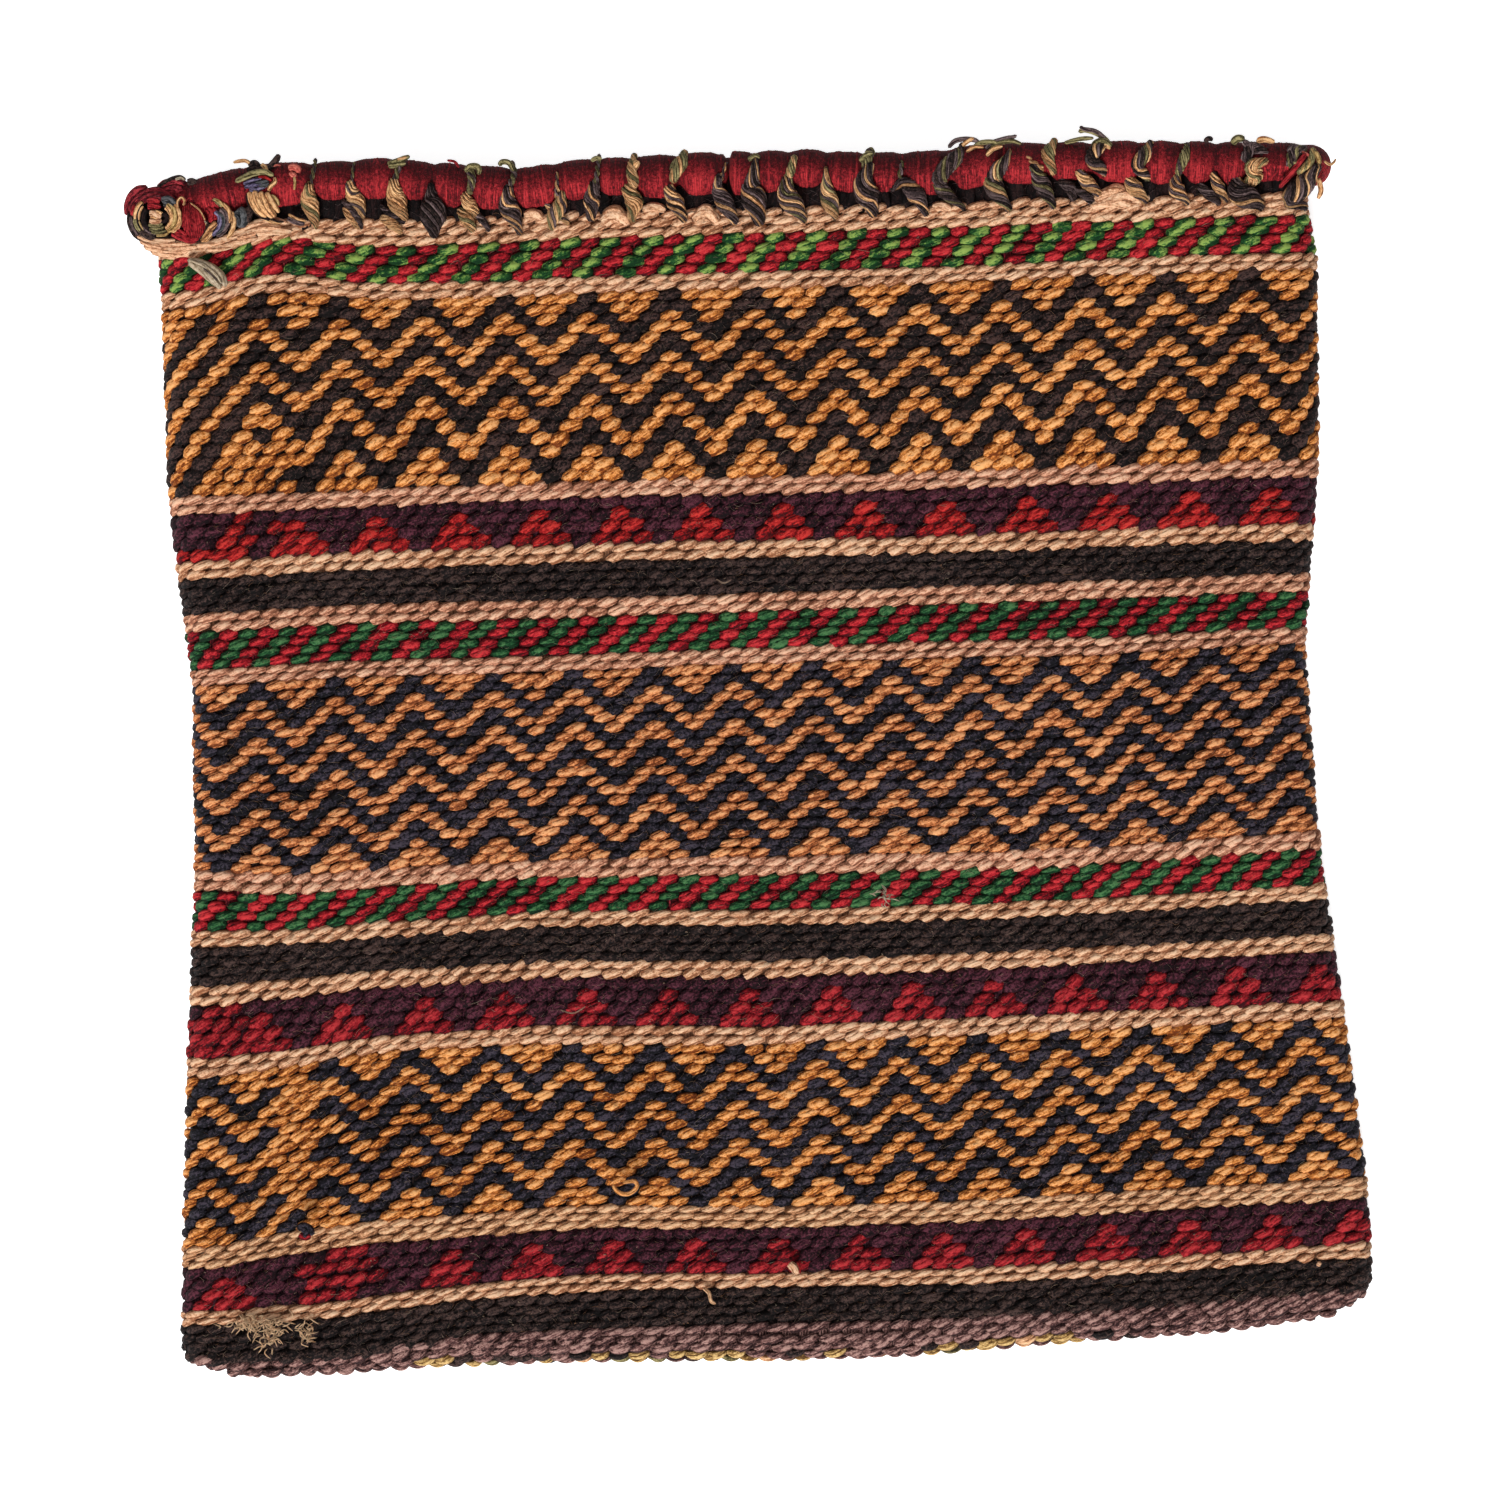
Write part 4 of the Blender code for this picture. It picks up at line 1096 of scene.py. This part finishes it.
def layRimCord(knit, plies, places):
    controls, sizes = [], []
    for across, down, half in places:
        z = restZ(*spot(across, down, rim["picture"][1])[:2], half * mm)
        controls.append((*spot(across, down, z / mm)[:2], z))
        sizes.append(half * mm)
    first, last = controls[0], controls[-1]
    controls = [(first[0], first[1] + 0.5 * mm, first[2] - cord["sink"])] + controls \
        + [(last[0], last[1] - 0.8 * mm, last[2] - cord["sink"])]
    sizes = [0.8 * sizes[0]] + sizes + [0.6 * sizes[-1]]
    fat = max(sizes)
    if fat < cord["thin"]:
        layCord(knit, controls, sizes, plies, cord["thinLay"], 0.5, anyTurn())
        return
    count = max(5, round(fat * cord["strandsPerMm"] / mm))
    strands = [plies[number % len(plies)] for number in range(count)]
    # a near-black core under the strands, painted shade between them
    layStrand(knit, smoothPath(controls, 25), np.array(sizes) * 0.8, "gapDark", 0.4, 7, 16)
    layCord(knit, controls, sizes, strands, cord["lay"] * fat, cord["strand"] / fat, anyTurn())


for end, name in ((-1, "front_whip_stitches_left"), (1, "front_whip_stitches_right")):
    knit = Knit()
    for plies, *places in rimCords:
        if (spot(*places[0][:2], rim["picture"][1])[0] > 0) == (end > 0):
            layRimCord(knit, [cordYarns[ply] for ply in plies], places)
    dress(knit.finish(name), end, "front_whip_stitches")

knit = Knit()
for number in range(24):
    x = (-184 + 16 * number + chance.normal(0, 1)) * mm
    y = rollY(x)
    # a loop from inside the mouth over the roll and down the back, in mm from the roll's middle
    loop = ((0, 4.6, 9), (0, 4.6, 3.5), (0, 0, 1.6), (1, -6, 2.2), (2, -12.5, 2.6), (2, -14, 5))
    controls = [(x + across * mm, y + up * mm, z * mm) for across, up, z in loop]
    plies = ("marlTan", "marlBrown", "marlOlive") if number % 3 else ("marlBrown", "coal", "marlTan")
    layCord(knit, controls, cord["back"], plies, 7 * mm, 0.45, 0.0, 30)
dress(knit.finish("back_whips"), 0, "back_whip_stitches")
print("whips laid")


# Loose strands, wraps and tufts: (yarn, half thickness in mm, height in mm, places in the picture)

def laySlack(knit, entries, sides=6):
    for yarn, half, z, *places in entries:
        heights = z if isinstance(z, tuple) else (z, z)
        rises = np.linspace(heights[0], heights[-1], len(places))
        path = smoothPath([spot(*place, rise) for place, rise in zip(places, rises)], 25)
        size = np.array([0.75, 1, 1, 1, 0.6]) * half * mm
        layStrand(knit, path, size, yarn, chance.normal(0.5, 0.1), sides, 20)


# An arc round a middle, in picture pixels, angles in degrees from the right, upwards
def arc(middle, wide, high, first, last, count=7):
    turns = np.radians(np.linspace(first, last, count))
    return [(middle[0] + wide * math.cos(turn), middle[1] - high * math.sin(turn)) for turn in turns]


# Left corner: the cut end of the roll, bound with many yarns. Its eye and its red disc are
# pixels of the picture
eye, disc = (158, 217.5), (193.5, 221.5)
# Its near-black strands are painted shade between the wraps
knobWraps = (
    ("wine", 1.5, (28, 29), *arc(eye, 28, 27, 12, 172)),
    ("wine", 1.5, (27, 28), (127.5, 216), (127.5, 206), (131, 196), (138, 189.5), (148, 187)),
    ("wine", 1.4, (29.5, 30.5), *arc(eye, 23.5, 22.5, 40, 160)),
    ("crimson", 0.9, (30.5, 30.5), *arc(eye, 26, 25, 150, 176, 4)),
    ("coal", 1.1, (29, 29), *arc(eye, 28.5, 27.5, 170, 236)),
    ("marlBrown", 0.6, (30, 30), *arc(eye, 27, 26, 176, 225)),
    ("marlTan", 1, (31.5, 31.5), *arc(eye, 22.5, 21, 132, 186)),
    ("marlOlive", 0.9, (31.3, 31), *arc(eye, 22.8, 21, 180, 222)),
    ("marlTan", 0.7, (31.8, 31.6), *arc(eye, 19.5, 18.5, 140, 190)),
    ("marlGold", 0.6, (31.6, 31.4), *arc(eye, 20, 18.5, 190, 225)),
    ("coal", 0.35, (32.2, 32), *arc(eye, 21, 20, 135, 225)),
    ("gapDark", 1.2, (31, 31), *arc(eye, 14.5, 14, 140, 240)),
    ("crimson", 1.2, 32, (147, 202), (153, 200.5), (160, 202)),
    ("crimson", 1.2, 32.2, (147, 206.5), (153, 206), (161, 207)),
    ("wine", 1, 31.6, (149, 199), (156, 198), (163, 199)),
    ("slate", 1.2, 32, (161, 200), (169, 199), (176, 204)),
    ("slate", 1.1, 32.3, (163, 203.5), (169, 204.5), (175, 208.5)),
    ("coal", 0.8, 32.4, (164, 207), (168, 208), (172, 210)),
    ("cream", 1.2, 33, (149, 213), (154, 213.5), (161, 218)),
    ("marlTan", 0.8, 33, (155, 211), (160, 213), (163, 216)),
    ("cream", 1, 33.2, (149, 220.5), (156, 221.5), (162, 220)),
    ("marlTan", 0.6, 33.2, (150, 217), (154, 218), (158, 220)),
    ("gapDark", 0.7, 33.4, (161, 214), (166.5, 216), (166, 220), (161, 223)),
    ("marlTan", 1, 32.6, *arc((160, 218), 12, 12, 68, -66)),
    ("marlGold", 1.2, 32.6, *arc((160, 218), 15.5, 15.5, 68, -64)),
    ("marlTan", 1.1, 32.2, *arc((160, 218), 19.5, 18, 50, -55)),
    ("marlTan", 0.5, 33, (178, 208), (177.5, 201), (181.5, 197.5), (184.5, 201), (183, 206)),
    ("marlOlive", 0.65, 32.6, (148, 225), (156, 225.5), (163, 223.5)),
    ("marlOlive", 0.65, 32.2, (149, 228.7), (157, 229), (165, 226.5)),
    ("marlOlive", 0.6, 31.8, (151, 232), (159, 232.5), (167, 230)),
    ("marlGold", 0.5, 31.4, (156, 235.7), (164, 235), (170, 232)),
    ("coal", 1.4, (30.5, 30), *arc(eye, 22, 20, 212, 264)),
    ("marlBrown", 0.7, (31.3, 31), *arc(eye, 19, 17, 210, 262)),
    ("crimson", 1.3, 31.5, (171, 233), (181, 237), (191, 240), (200, 238)),
    ("crimson", 1, 31.8, (174, 229.5), (181, 232), (187, 236)),
    ("marlTan", 0.3, (34.5, 33), (190, 202.5), (199, 209.5), (204.5, 219), (206, 226)),
    ("coal", 0.8, (32, 31.5), (206, 220), (207, 228), (203, 236), (196, 242)),
    ("wool", 0.25, 34, (204, 221), (207, 223.5)),
    ("gapDark", 2.4, 29, (198, 198), (207, 200), (213, 206)),
    ("crimson", 1.4, 31, (207, 208), (212, 214), (210, 223)),
    ("crimson", 1.2, 31, (213, 208), (216, 214), (214, 221)),
    ("marlOlive", 1, (31, 32), (202, 191), (209, 197), (217, 201), (222, 207)),
    ("marlGold", 0.6, 32.3, (214, 199), (220, 202), (224, 207)),
    ("marlTan", 0.9, 31.8, (222, 203), (228, 209), (229.5, 217), (226, 228)),
    ("marlBlue", 1, 31.8, (214, 211), (220, 217), (219, 228), (212, 236)),
    ("marlBrown", 1.3, 31.6, (219, 209), (226, 215), (226, 226), (217, 237)),
    ("slate", 0.7, 32.4, (217, 212), (223, 218), (223, 228), (216, 235)),
    ("marlTan", 1.2, 31.8, (217, 222), (211, 228), (206, 236), (201, 242)),
    ("marlTan", 0.9, 31.3, (213, 232), (208, 238), (205, 242)),
    ("marlTan", 1, 31, (231, 211), (234, 221), (232, 231), (227, 239)),
    ("slate", 2.4, (30.5, 30), (237, 209), (242, 216), (240, 228)),
    ("coal", 1.4, (30.8, 30), (246, 207), (249, 214), (245, 223)),
    ("slate", 0.6, 32.6, (235, 214), (239, 220), (239, 226)),
    ("wine", 2.2, (27, 27), (158, 190), (168, 184.5), (180, 183.5), (187, 188)),
    ("wine", 2, (28, 28), (163, 194), (175, 189), (187, 193)),
    ("coal", 0.7, 29, (157, 187.5), (165, 182), (173, 178), (181, 176.7), (186, 180)),
    ("wool", 0.5, 29.8, (175, 179.5), (181, 177.8), (184.5, 180)),
    ("coal", 1.7, 28.5, (187, 183), (192, 182.5), (197, 186), (200, 192)),
    ("gapDark", 3, 27.5, (188, 190), (196, 192), (203, 192)),
    ("cream", 0.9, 29.5, (136, 235.5), (146, 239), (160, 240.5), (176, 240)),
    ("cream", 1.2, (26, 28.5), (139, 240.5), (150, 244), (166, 245), (180, 243.5), (192, 243)),
    ("cream", 1.3, (25, 28), (143, 246), (155, 249), (170, 249.5), (190, 247), (206, 243)),
    ("cream", 1.3, (23, 27.5), (150, 251), (163, 254), (180, 253), (200, 249.5), (217, 245)),
    ("cream", 1.1, (23, 27), (162, 256.5), (178, 256.5), (196, 253), (215, 249)),
    ("cream", 1.4, 28, (195, 246), (212, 243), (228, 238), (244, 232)),
    ("cream", 1.3, 27.8, (205, 250), (222, 247.5), (240, 242), (258, 236.5)),
    ("cream", 1.3, 28.2, (222, 239), (236, 233.5), (248, 226.5), (258, 222)),
    ("cream", 1.4, 28.2, (236, 238.5), (250, 232.5), (264, 228), (282, 227)),
    ("cream", 1.3, 28, (246, 228), (258, 222.5), (272, 220.5), (288, 223)),
    ("cream", 1.3, 27.8, (256, 234), (272, 231.5), (292, 231)),
)
# What the wraps are bound round, near black as painted shade between them: (middle, half width, half height,
# height, half thickness) in mm
knobCores = ((eye, 10.2, 9.8, 21.5, 8.0), ((180, 220), 11, 8.5, 20, 8.5))
# The red end: places in picture pixels, heights in mm
dome = {
    "strands": 13, "edge": 0.94, "across": 12.4, "slant": 3.0, "up": 19.5, "low": 30.0, "high": 3.6,
    "thick": np.array((0.5, 0.75, 0.5)) * mm,
}

knit = Knit()
shape = grain(24, 20)
turns = shape["around"] * tau
for middle, wide, high, z, thick in knobCores:
    centre = spot(*middle, z)
    full = np.cos(shape["along"] * math.pi / 2) ** 0.55 * mm
    points = np.stack((centre[0] + wide * full * np.cos(turns), centre[1] + high * full * np.sin(turns),
                       centre[2] + thick * mm * np.sin(shape["along"] * math.pi / 2)), -1)
    knit.addGrains(points[None], shape, ["gapDark"], [0.5], 10 * mm)
laySlack(knit, knobWraps, 7)
# the red end is of fine strands laid side by side over a dome
for step in np.linspace(-dome["edge"], dome["edge"], dome["strands"]):
    reach = math.sqrt(1 - step ** 2)
    places = []
    for part in (-1, -0.5, 0, 0.5, 1):
        rise = dome["high"] * math.sqrt(max(1 - step ** 2 - (0.93 * part * reach) ** 2, 0))
        places.append(spot(disc[0] + dome["across"] * step - dome["slant"] * part * reach,
                           disc[1] - dome["up"] * part * reach, dome["low"] + rise))
    layStrand(knit, smoothPath(places, 21), dome["thick"], "crimson", chance.normal(0.5, 0.14), 6, 18)
dress(knit.finish("rim_end_knob_wraps"), 0, "rim_end_knob")
print("knob bound")

# Ends and tufts along the roll. The near-black strand among them is painted shade under the tan ones
tufts = (
    ("marlTan", 0.7, 31, (252, 165), (246, 161), (240, 161), (233, 162.5)),
    ("coal", 1.1, 31, (249, 167), (254, 162.8), (260, 167)),
    ("coal", 1, 31.5, (246, 170), (254, 168.5), (262, 169)),
    ("marlTan", 0.8, 32, (261, 164), (265, 167), (268, 172)),
    ("coal", 1.2, 31.5, (267, 170), (273, 163.5), (277, 158.5), (279, 154)),
    ("coral", 0.35, 32, (272, 166.5), (276, 165), (281, 165.5)),
    ("marlOlive", 1.1, 33.5, (235, 182), (242, 178.5), (250, 174.5), (258, 172.3), (266, 172.3), (274, 176)),
    ("marlBlue", 0.7, 33, (243, 184), (252, 180.5), (262, 178.3)),
    ("marlBlue", 0.8, 33, (244, 187), (254, 185), (266, 181)),
    ("marlBlue", 0.8, 32.6, (249, 190), (258, 189.3), (267, 185)),
    ("slate", 0.8, 33.2, (255, 183.5), (263, 182), (269, 181)),
    ("slate", 0.8, 32.8, (259, 187), (265, 185.5), (269, 183)),
    ("scarlet", 0.55, 33.6, (258, 176.8), (265, 177), (271.5, 181)),
    ("marlTan", 0.8, 33, (268, 191), (271, 186), (275, 182), (274.5, 177)),
    ("coral", 1.2, 33, (288, 168.5), (293, 167), (298, 169), (297, 173)),
    ("coral", 0.9, 33, (290, 172), (293, 175), (296, 173)),
    ("marlGold", 0.5, 33, (294, 176), (295, 183), (294, 190)),
    ("gapDark", 1, 31, (247, 194), (251, 206), (259, 214), (270, 220)),
    ("marlTan", 1.1, 32.5, (249, 191), (252, 202), (258, 211), (267, 217)),
    ("marlTan", 1.2, 33.2, (254, 190), (258, 201), (264, 210), (273, 218)),
    ("marlTan", 1.2, 33.4, (260, 191), (264, 200), (269, 209), (276, 217)),
    ("marlTan", 1.1, 33, (266, 192), (270, 199), (274, 206), (279, 213)),
    ("marlGold", 0.7, 32.2, (271, 195), (276, 199), (279, 206)),
    ("marlTan", 0.6, 30, (262, 217), (272, 222), (282, 223)),
    ("coal", 0.4, 30.4, (268, 216), (276, 221), (284, 222)),
    ("marlBrown", 1, 30, (287, 218), (296, 222), (305, 224)),
    ("marlTan", 0.6, 30.3, (288, 214), (297, 219), (306, 221)),
    ("marlOlive", 1, 31, (387, 164), (397, 161), (410, 156)),
    ("marlOlive", 0.9, 31.5, (388, 166.5), (397, 165), (406, 163)),
    ("marlTan", 0.6, 31.5, (397, 160), (404, 158), (407, 157)),
    ("rimRed", 0.5, 30.5, (447, 160.2), (455, 162), (459, 168)),
    ("marlOlive", 1.1, 32, (465, 172), (470, 166.5), (478, 167), (479, 175)),
    ("marlOlive", 1, 31.5, (499, 166), (502, 162), (509, 163), (514, 171)),
    ("marlOlive", 0.8, 31.5, (591, 161), (596, 158), (602, 159)),
    ("marlTan", 1.3, 32, (630, 176), (635, 166), (639, 161)),
    ("marlOlive", 1.6, 32, (672, 172), (677, 163), (686, 158)),
    ("marlOlive", 0.9, 31.5, (748, 160), (755, 156), (760, 158)),
    ("marlOlive", 1.2, 31.5, (860, 162), (867, 155), (873, 153)),
    ("marlOlive", 1, 30.5, (1078, 132), (1086, 130), (1098, 134), (1107, 141), (1112, 148)),
    ("marlBrown", 0.8, 31.5, (1080, 126), (1084, 129), (1095, 131), (1106, 138)),
    ("coal", 0.6, 31.5, (1080, 126), (1082, 128), (1087, 129)),
    ("marlOlive", 0.8, 30.5, (1064, 143), (1080, 139), (1094, 138)),
    ("marlBrown", 0.9, 30.5, (948, 148), (955, 141), (966, 139), (977, 141), (979, 147)),
    ("marlTan", 0.8, 31, (962, 146), (968, 141), (974, 138)),
    ("marlBrown", 0.9, 30.5, (985, 150), (992, 143), (1004, 139), (1013, 137), (1017, 135)),
    ("marlOlive", 0.8, 31.2, (990, 148), (1000, 143), (1012, 141), (1022, 144)),
    ("marlTan", 0.8, 32, (986, 156), (993, 149), (1003, 146)),
    ("marlOlive", 1.2, 31.5, (1092, 150), (1096, 143), (1104, 141), (1112, 146)),
    ("marlTan", 0.8, 31.5, (1098, 148), (1106, 145), (1110, 150)),
    ("marlOlive", 0.9, 31, (972, 149), (980, 143), (992, 142), (1000, 145)),
    ("marlTan", 0.7, 31.3, (966, 152), (974, 147), (984, 147)),
    ("coal", 0.9, 30.5, (1204.5, 142), (1208.5, 138.5), (1213, 140)),
    ("marlOlive", 1.3, 31, (1232, 144), (1237, 138.5), (1245, 139)),
    ("marlBrown", 1.3, 32, (1243, 141), (1249, 146), (1252, 153)),
    ("marlTan", 1, 31.5, (1256, 142), (1265, 139.5), (1275, 142)),
    ("amber", 0.7, 31.5, (1257, 139.5), (1263, 138), (1270, 139)),
    ("marlBrown", 1.4, 32, (1288, 153), (1294, 147.5), (1302, 152)),
    ("marlOlive", 1, 32.5, (1288, 166), (1293, 162), (1298, 164)),
    ("crimson", 1, 33, (1306, 153), (1293, 171), (1279, 188)),
    ("marlGold", 0.9, 32, (1315, 151), (1318, 157), (1320, 164)),
    ("coral", 0.5, 32, (1296, 150), (1305, 153), (1312, 158)),
    ("marlTan", 0.5, (29, 27), (1324, 161), (1330, 164.5), (1334, 162), (1336, 158.5)),
    ("marlTan", 1, (29, 26), (1318, 178), (1321, 190), (1318, 199)),
    ("cream", 2.6, 26.5, (602, 224), (611, 216), (621, 217), (630, 224)),
    ("cream", 2.2, 26.8, (604, 217), (614, 211), (624, 214)),
    ("cream", 2.4, 26.5, (694, 222), (702, 214), (711, 215), (718, 222)),
    ("cream", 1.9, 26.8, (698, 214), (706, 209), (713, 213)),
    ("cream", 2.2, 26.8, (1094, 202), (1106, 194), (1118, 189), (1126, 191)),
    ("cream", 2.2, 26.8, (1104, 204), (1116, 198), (1128, 195), (1137, 199)),
    ("cream", 2, 26.5, (1090, 207), (1103, 203), (1118, 203), (1132, 205)),
    ("cream", 2, 27, (524, 217), (533, 214), (543, 218)),
    ("cream", 1.7, 26.5, (642, 210), (654, 207), (666, 210)),
    ("cream", 1.8, 26.5, (932, 208), (942, 206), (952, 210)),
)
clothEnds = (
    ("wool", 1.5, (29, 30), (187, 260), (198, 262.5), (212, 268), (222, 277), (226, 287)),
    ("wool", 1.4, (29.2, 30.3), (188, 262), (197, 267), (208, 276), (217, 284), (221, 289)),
    ("wool", 0.7, (30.4, 31.4), (190, 260), (203, 265), (216, 275), (222, 284)),
    ("marlBrown", 0.22, (31.4, 31.8), (203, 268), (210, 273.5), (217, 281)),
    ("navy", 1.3, 24, (297, 1229), (303, 1226), (310, 1229), (312, 1236)),
    ("crimson", 1.2, 24.3, (299, 1234), (304, 1237), (311, 1236)),
    ("navy", 1, 24.8, (301, 1229), (306, 1232), (304, 1238)),
    ("amber", 0.8, 23.5, (612, 1184), (618, 1192), (628, 1194), (637, 1187), (634, 1181), (622, 1183)),
    ("tan", 0.7, (18, 19.5), (703, 1288), (709, 1293), (711, 1301), (716, 1304)),
    ("cream", 1.5, 19.5, (789, 1263), (794, 1268), (798, 1274)),
    ("scarlet", 0.4, 20.5, (797, 1262), (800, 1268), (800, 1274)),
    ("cream", 0.9, 19, (1317, 1263), (1321, 1265)),
    ("coal", 0.35, 26.5, (1098, 972), (1103, 967), (1106, 960)),
    ("hair", 0.25, 28, (716, 579), (724, 583), (731, 580)),
    ("hair", 0.25, 26, (560, 1010), (574, 1013), (586, 1006)),
)
# Frayed fibres: (yarn, middle and spread in picture pixels, height in mm, count)
frays = (
    ("fluff", (260, 1325), (15, 4), 19, 105), ("fluff", (268, 1338), (6, 5), 19, 40),
    ("fluff", (308, 1333), (4, 5), 19, 30), ("wool", (883, 897), (4, 3), 27.5, 18),
)
fray = {"half": 0.24 * mm, "reach": 13, "rise": 1.6}


def layFray(knit, yarn, middle, spread, z, count):
    for number in range(count):
        place = chance.normal(middle, spread)
        heading = chance.uniform(0, tau)
        reach = fray["reach"] * chance.uniform(0.3, 1)
        turn = chance.normal(0, 1.2)
        path = []
        for part in (0, 0.5, 1):
            rise = fray["rise"] * (1 - abs(2 * part - 1)) * chance.uniform(0, 1)
            angle = heading + turn * part
            path.append(spot(place[0] + reach * part * math.cos(angle),
                             place[1] + reach * part * math.sin(angle), z + rise))
        thick = np.array((1, 1, 0.5)) * fray["half"]
        layStrand(knit, smoothPath(path, 9), thick, yarn, chance.normal(0.9, 0.15), 4, 7)


for name, entries, loose, node, slot in (
        ("rim_tufts", tufts, (), "front_whip_stitches", "marled_yarn"),
        ("loose_ends", clothEnds, frays, "front_redgreen_1", "red_green_yarn")):
    for end, side in ((-1, "_left"), (1, "_right")):
        knit = Knit()
        laySlack(knit, [entry for entry in entries if (entry[3][0] > view["middle"][0]) == (end > 0)])
        for entry in loose:
            if (entry[1][0] > view["middle"][0]) == (end > 0):
                layFray(knit, *entry)
        dress(knit.finish(name + side), end, node)
print("ends laid")


# Fuzz: short hairs that stand off the stitches. A kind of hair is its length and half thickness

fuzz = {
    "perRow": 95, "stand": 1.1 * mm, "off": 2.05 * mm,
    "yarns": ("hair", "dusk", "wool"), "shares": (0.5, 0.4, 0.1),
}
hairs = {"short": (2.6 * mm, 0.08 * mm), "long": (6.5 * mm, 0.09 * mm), "speck": (1.3 * mm, 0.26 * mm)}
# Hairs that float in the shade below the roll: how many on each line, and the lines' heights in mm
gapFuzz = {
    "count": 90, "lines": (3.0, 5.0, 7.0, 9.0), "sink": -0.6 * mm,
    "yarns": ("coal", "gapDark", "marlBrown"), "reach": 3 * mm,
}


def bendHairs(row, shape, span, count, kind):
    longest, half = hairs[kind]
    along = shape["along"][None, :]
    around = shape["around"][None, :] * tau
    heading = chance.uniform(0, math.pi, (count, 1))
    reach = longest * chance.uniform(0.4, 1, (count, 1)) / 2
    turn = heading + chance.normal(0, 0.5, (count, 1)) * along
    thick = half * np.sqrt(1 - np.abs(along) ** 3)
    place = chance.uniform(*span, (count, 1)) + reach * along * np.cos(turn)
    rise = reach * along * np.sin(turn) + thick * np.sin(around) + chance.normal(0, 1.2 * mm, (count, 1))
    stand = 0 if kind == "speck" else fuzz["stand"] * chance.uniform(0.1, 1, (count, 1))
    return onRing(row, place, rise, fuzz["off"] + stand * (1 - along ** 2) + thick * np.cos(around))


hairGrain = grain(3, 4)
for region in ("frontLeft", "frontRight"):
    knit = Knit()
    count = gapFuzz["count"]
    for line in gapFuzz["lines"]:
        points = bendHairs(rows[0], hairGrain, regionRange(rows[0], region), count, "long")
        points = points + (0, line * mm, gapFuzz["sink"])
        names = [gapFuzz["yarns"][pick] for pick in chance.integers(0, 3, count)]
        knit.addGrains(points, hairGrain, names, chance.uniform(0.3, 0.9, count), gapFuzz["reach"])
    for row in rows:
        if row["edge"] is None:
            continue
        dark = 1 if row["band"].startswith(("black", "zigzag", "triangles")) else 0.5
        specks = 0.05 * row["band"].startswith(("black", "triangles"))
        for kind, share in (("short", 0.8), ("long", 0.2), ("speck", specks)):
            count = round(fuzz["perRow"] * share * dark)
            if not count:
                continue
            names = [fuzz["yarns"][pick] for pick in chance.choice(3, count, p=fuzz["shares"])]
            points = bendHairs(row, hairGrain, regionRange(row, region), count, kind)
            knit.addGrains(points, hairGrain, names, chance.uniform(0.2, 0.9, count), hairs[kind][0] / 2)
    dress(knit.finish("fuzz_" + region), regionEnds[region], "front_black_1")
print("fuzz laid")


# Cloth pieces

slotNames = {
    "cream": "cream_yarn", "redgreen": "red_green_yarn", "zigzag": "amber_dark_yarn",
    "triangles": "purple_red_yarn", "black": "black_yarn", "tan": "tan_yarn",
}
for key, knit in knits.items():
    if isinstance(key, str):
        side = key.replace("Fold", "_side_fold")
        dress(knit.finish(side + "_cloth"), 0, side)
        continue
    region, band = key
    if band == "bottom":
        dress(knit.finish("bottom_fold_cloth_" + region), 0, "bottom_fold")
        continue
    side = "back_" if region == "back" else "front_"
    slot = slotNames[band.split("_")[0]]
    dress(knit.finish(f"{band}_cloth_{region}"), regionEnds[region], side + band)


# Floor, lamps and camera

floorGlow = 0.72    # lifts the white floor as the camera sees it; the shadow stays
floorColour, white = (0.86, 0.86, 0.86, 1), (1, 1, 1, 1)
film = 36           # height of the camera's film in mm


def makeFloor():
    ground = bmesh.new()
    bmesh.ops.create_grid(ground, x_segments=1, y_segments=1, size=3)
    bmesh.ops.translate(ground, verts=ground.verts[:], vec=(0, 0, -1.0 * mm))
    mesh = bpy.data.meshes.new("floor")
    ground.to_mesh(mesh)
    ground.free()
    floor = link("floor", mesh)
    shade = Shade("floorWhite", {"Base Color": floorColour, "Roughness": 0.9, "Emission Color": white})
    path = shade.add("ShaderNodeLightPath", {}).outputs
    seen = shade.calc("ADD", path["Is Camera Ray"], path["Is Glossy Ray"])
    seen = shade.calc("MINIMUM", shade.calc("ADD", seen, path["Is Transmission Ray"]), 1.0)
    mesh.materials.append(shade.finish({"Emission Strength": shade.calc("MULTIPLY", seen, floorGlow)}))


def makeLamp(name, direction, power, size):
    lamp = bpy.data.lights.new(name, "SUN")
    lamp.energy = power
    lamp.angle = math.radians(size)
    link(name, lamp).rotation_euler = Vector(direction).to_track_quat("Z", "Y").to_euler()


def makeCamera():
    camera = bpy.data.cameras.new("camera")
    camera.sensor_fit = "VERTICAL"
    camera.sensor_height = film
    camera.lens = film * view["distance"] / view["frameHeight"]
    holder = link("camera", camera)
    holder.location = (*view["centre"], view["distance"] + view["faceZ"])
    holder.rotation_euler = (0, 0, math.radians(-view["turn"]))
    bpy.context.scene.camera = holder


makeFloor()
makeLamp("keyLamp", (-0.2, -1.0, 0.95), 3.1, 20)
makeLamp("fillLamp", (-0.5, 0.1, 1.2), 0.55, 50)
world = bpy.data.worlds.new("studio")
world.use_nodes = True
world.node_tree.nodes["Background"].inputs["Color"].default_value = white
world.node_tree.nodes["Background"].inputs["Strength"].default_value = 0.30
bpy.context.scene.world = world
makeCamera()
bpy.context.scene.view_settings.view_transform = "Standard"

print("faces:", sum(len(mesh.polygons) for mesh in bpy.data.meshes))
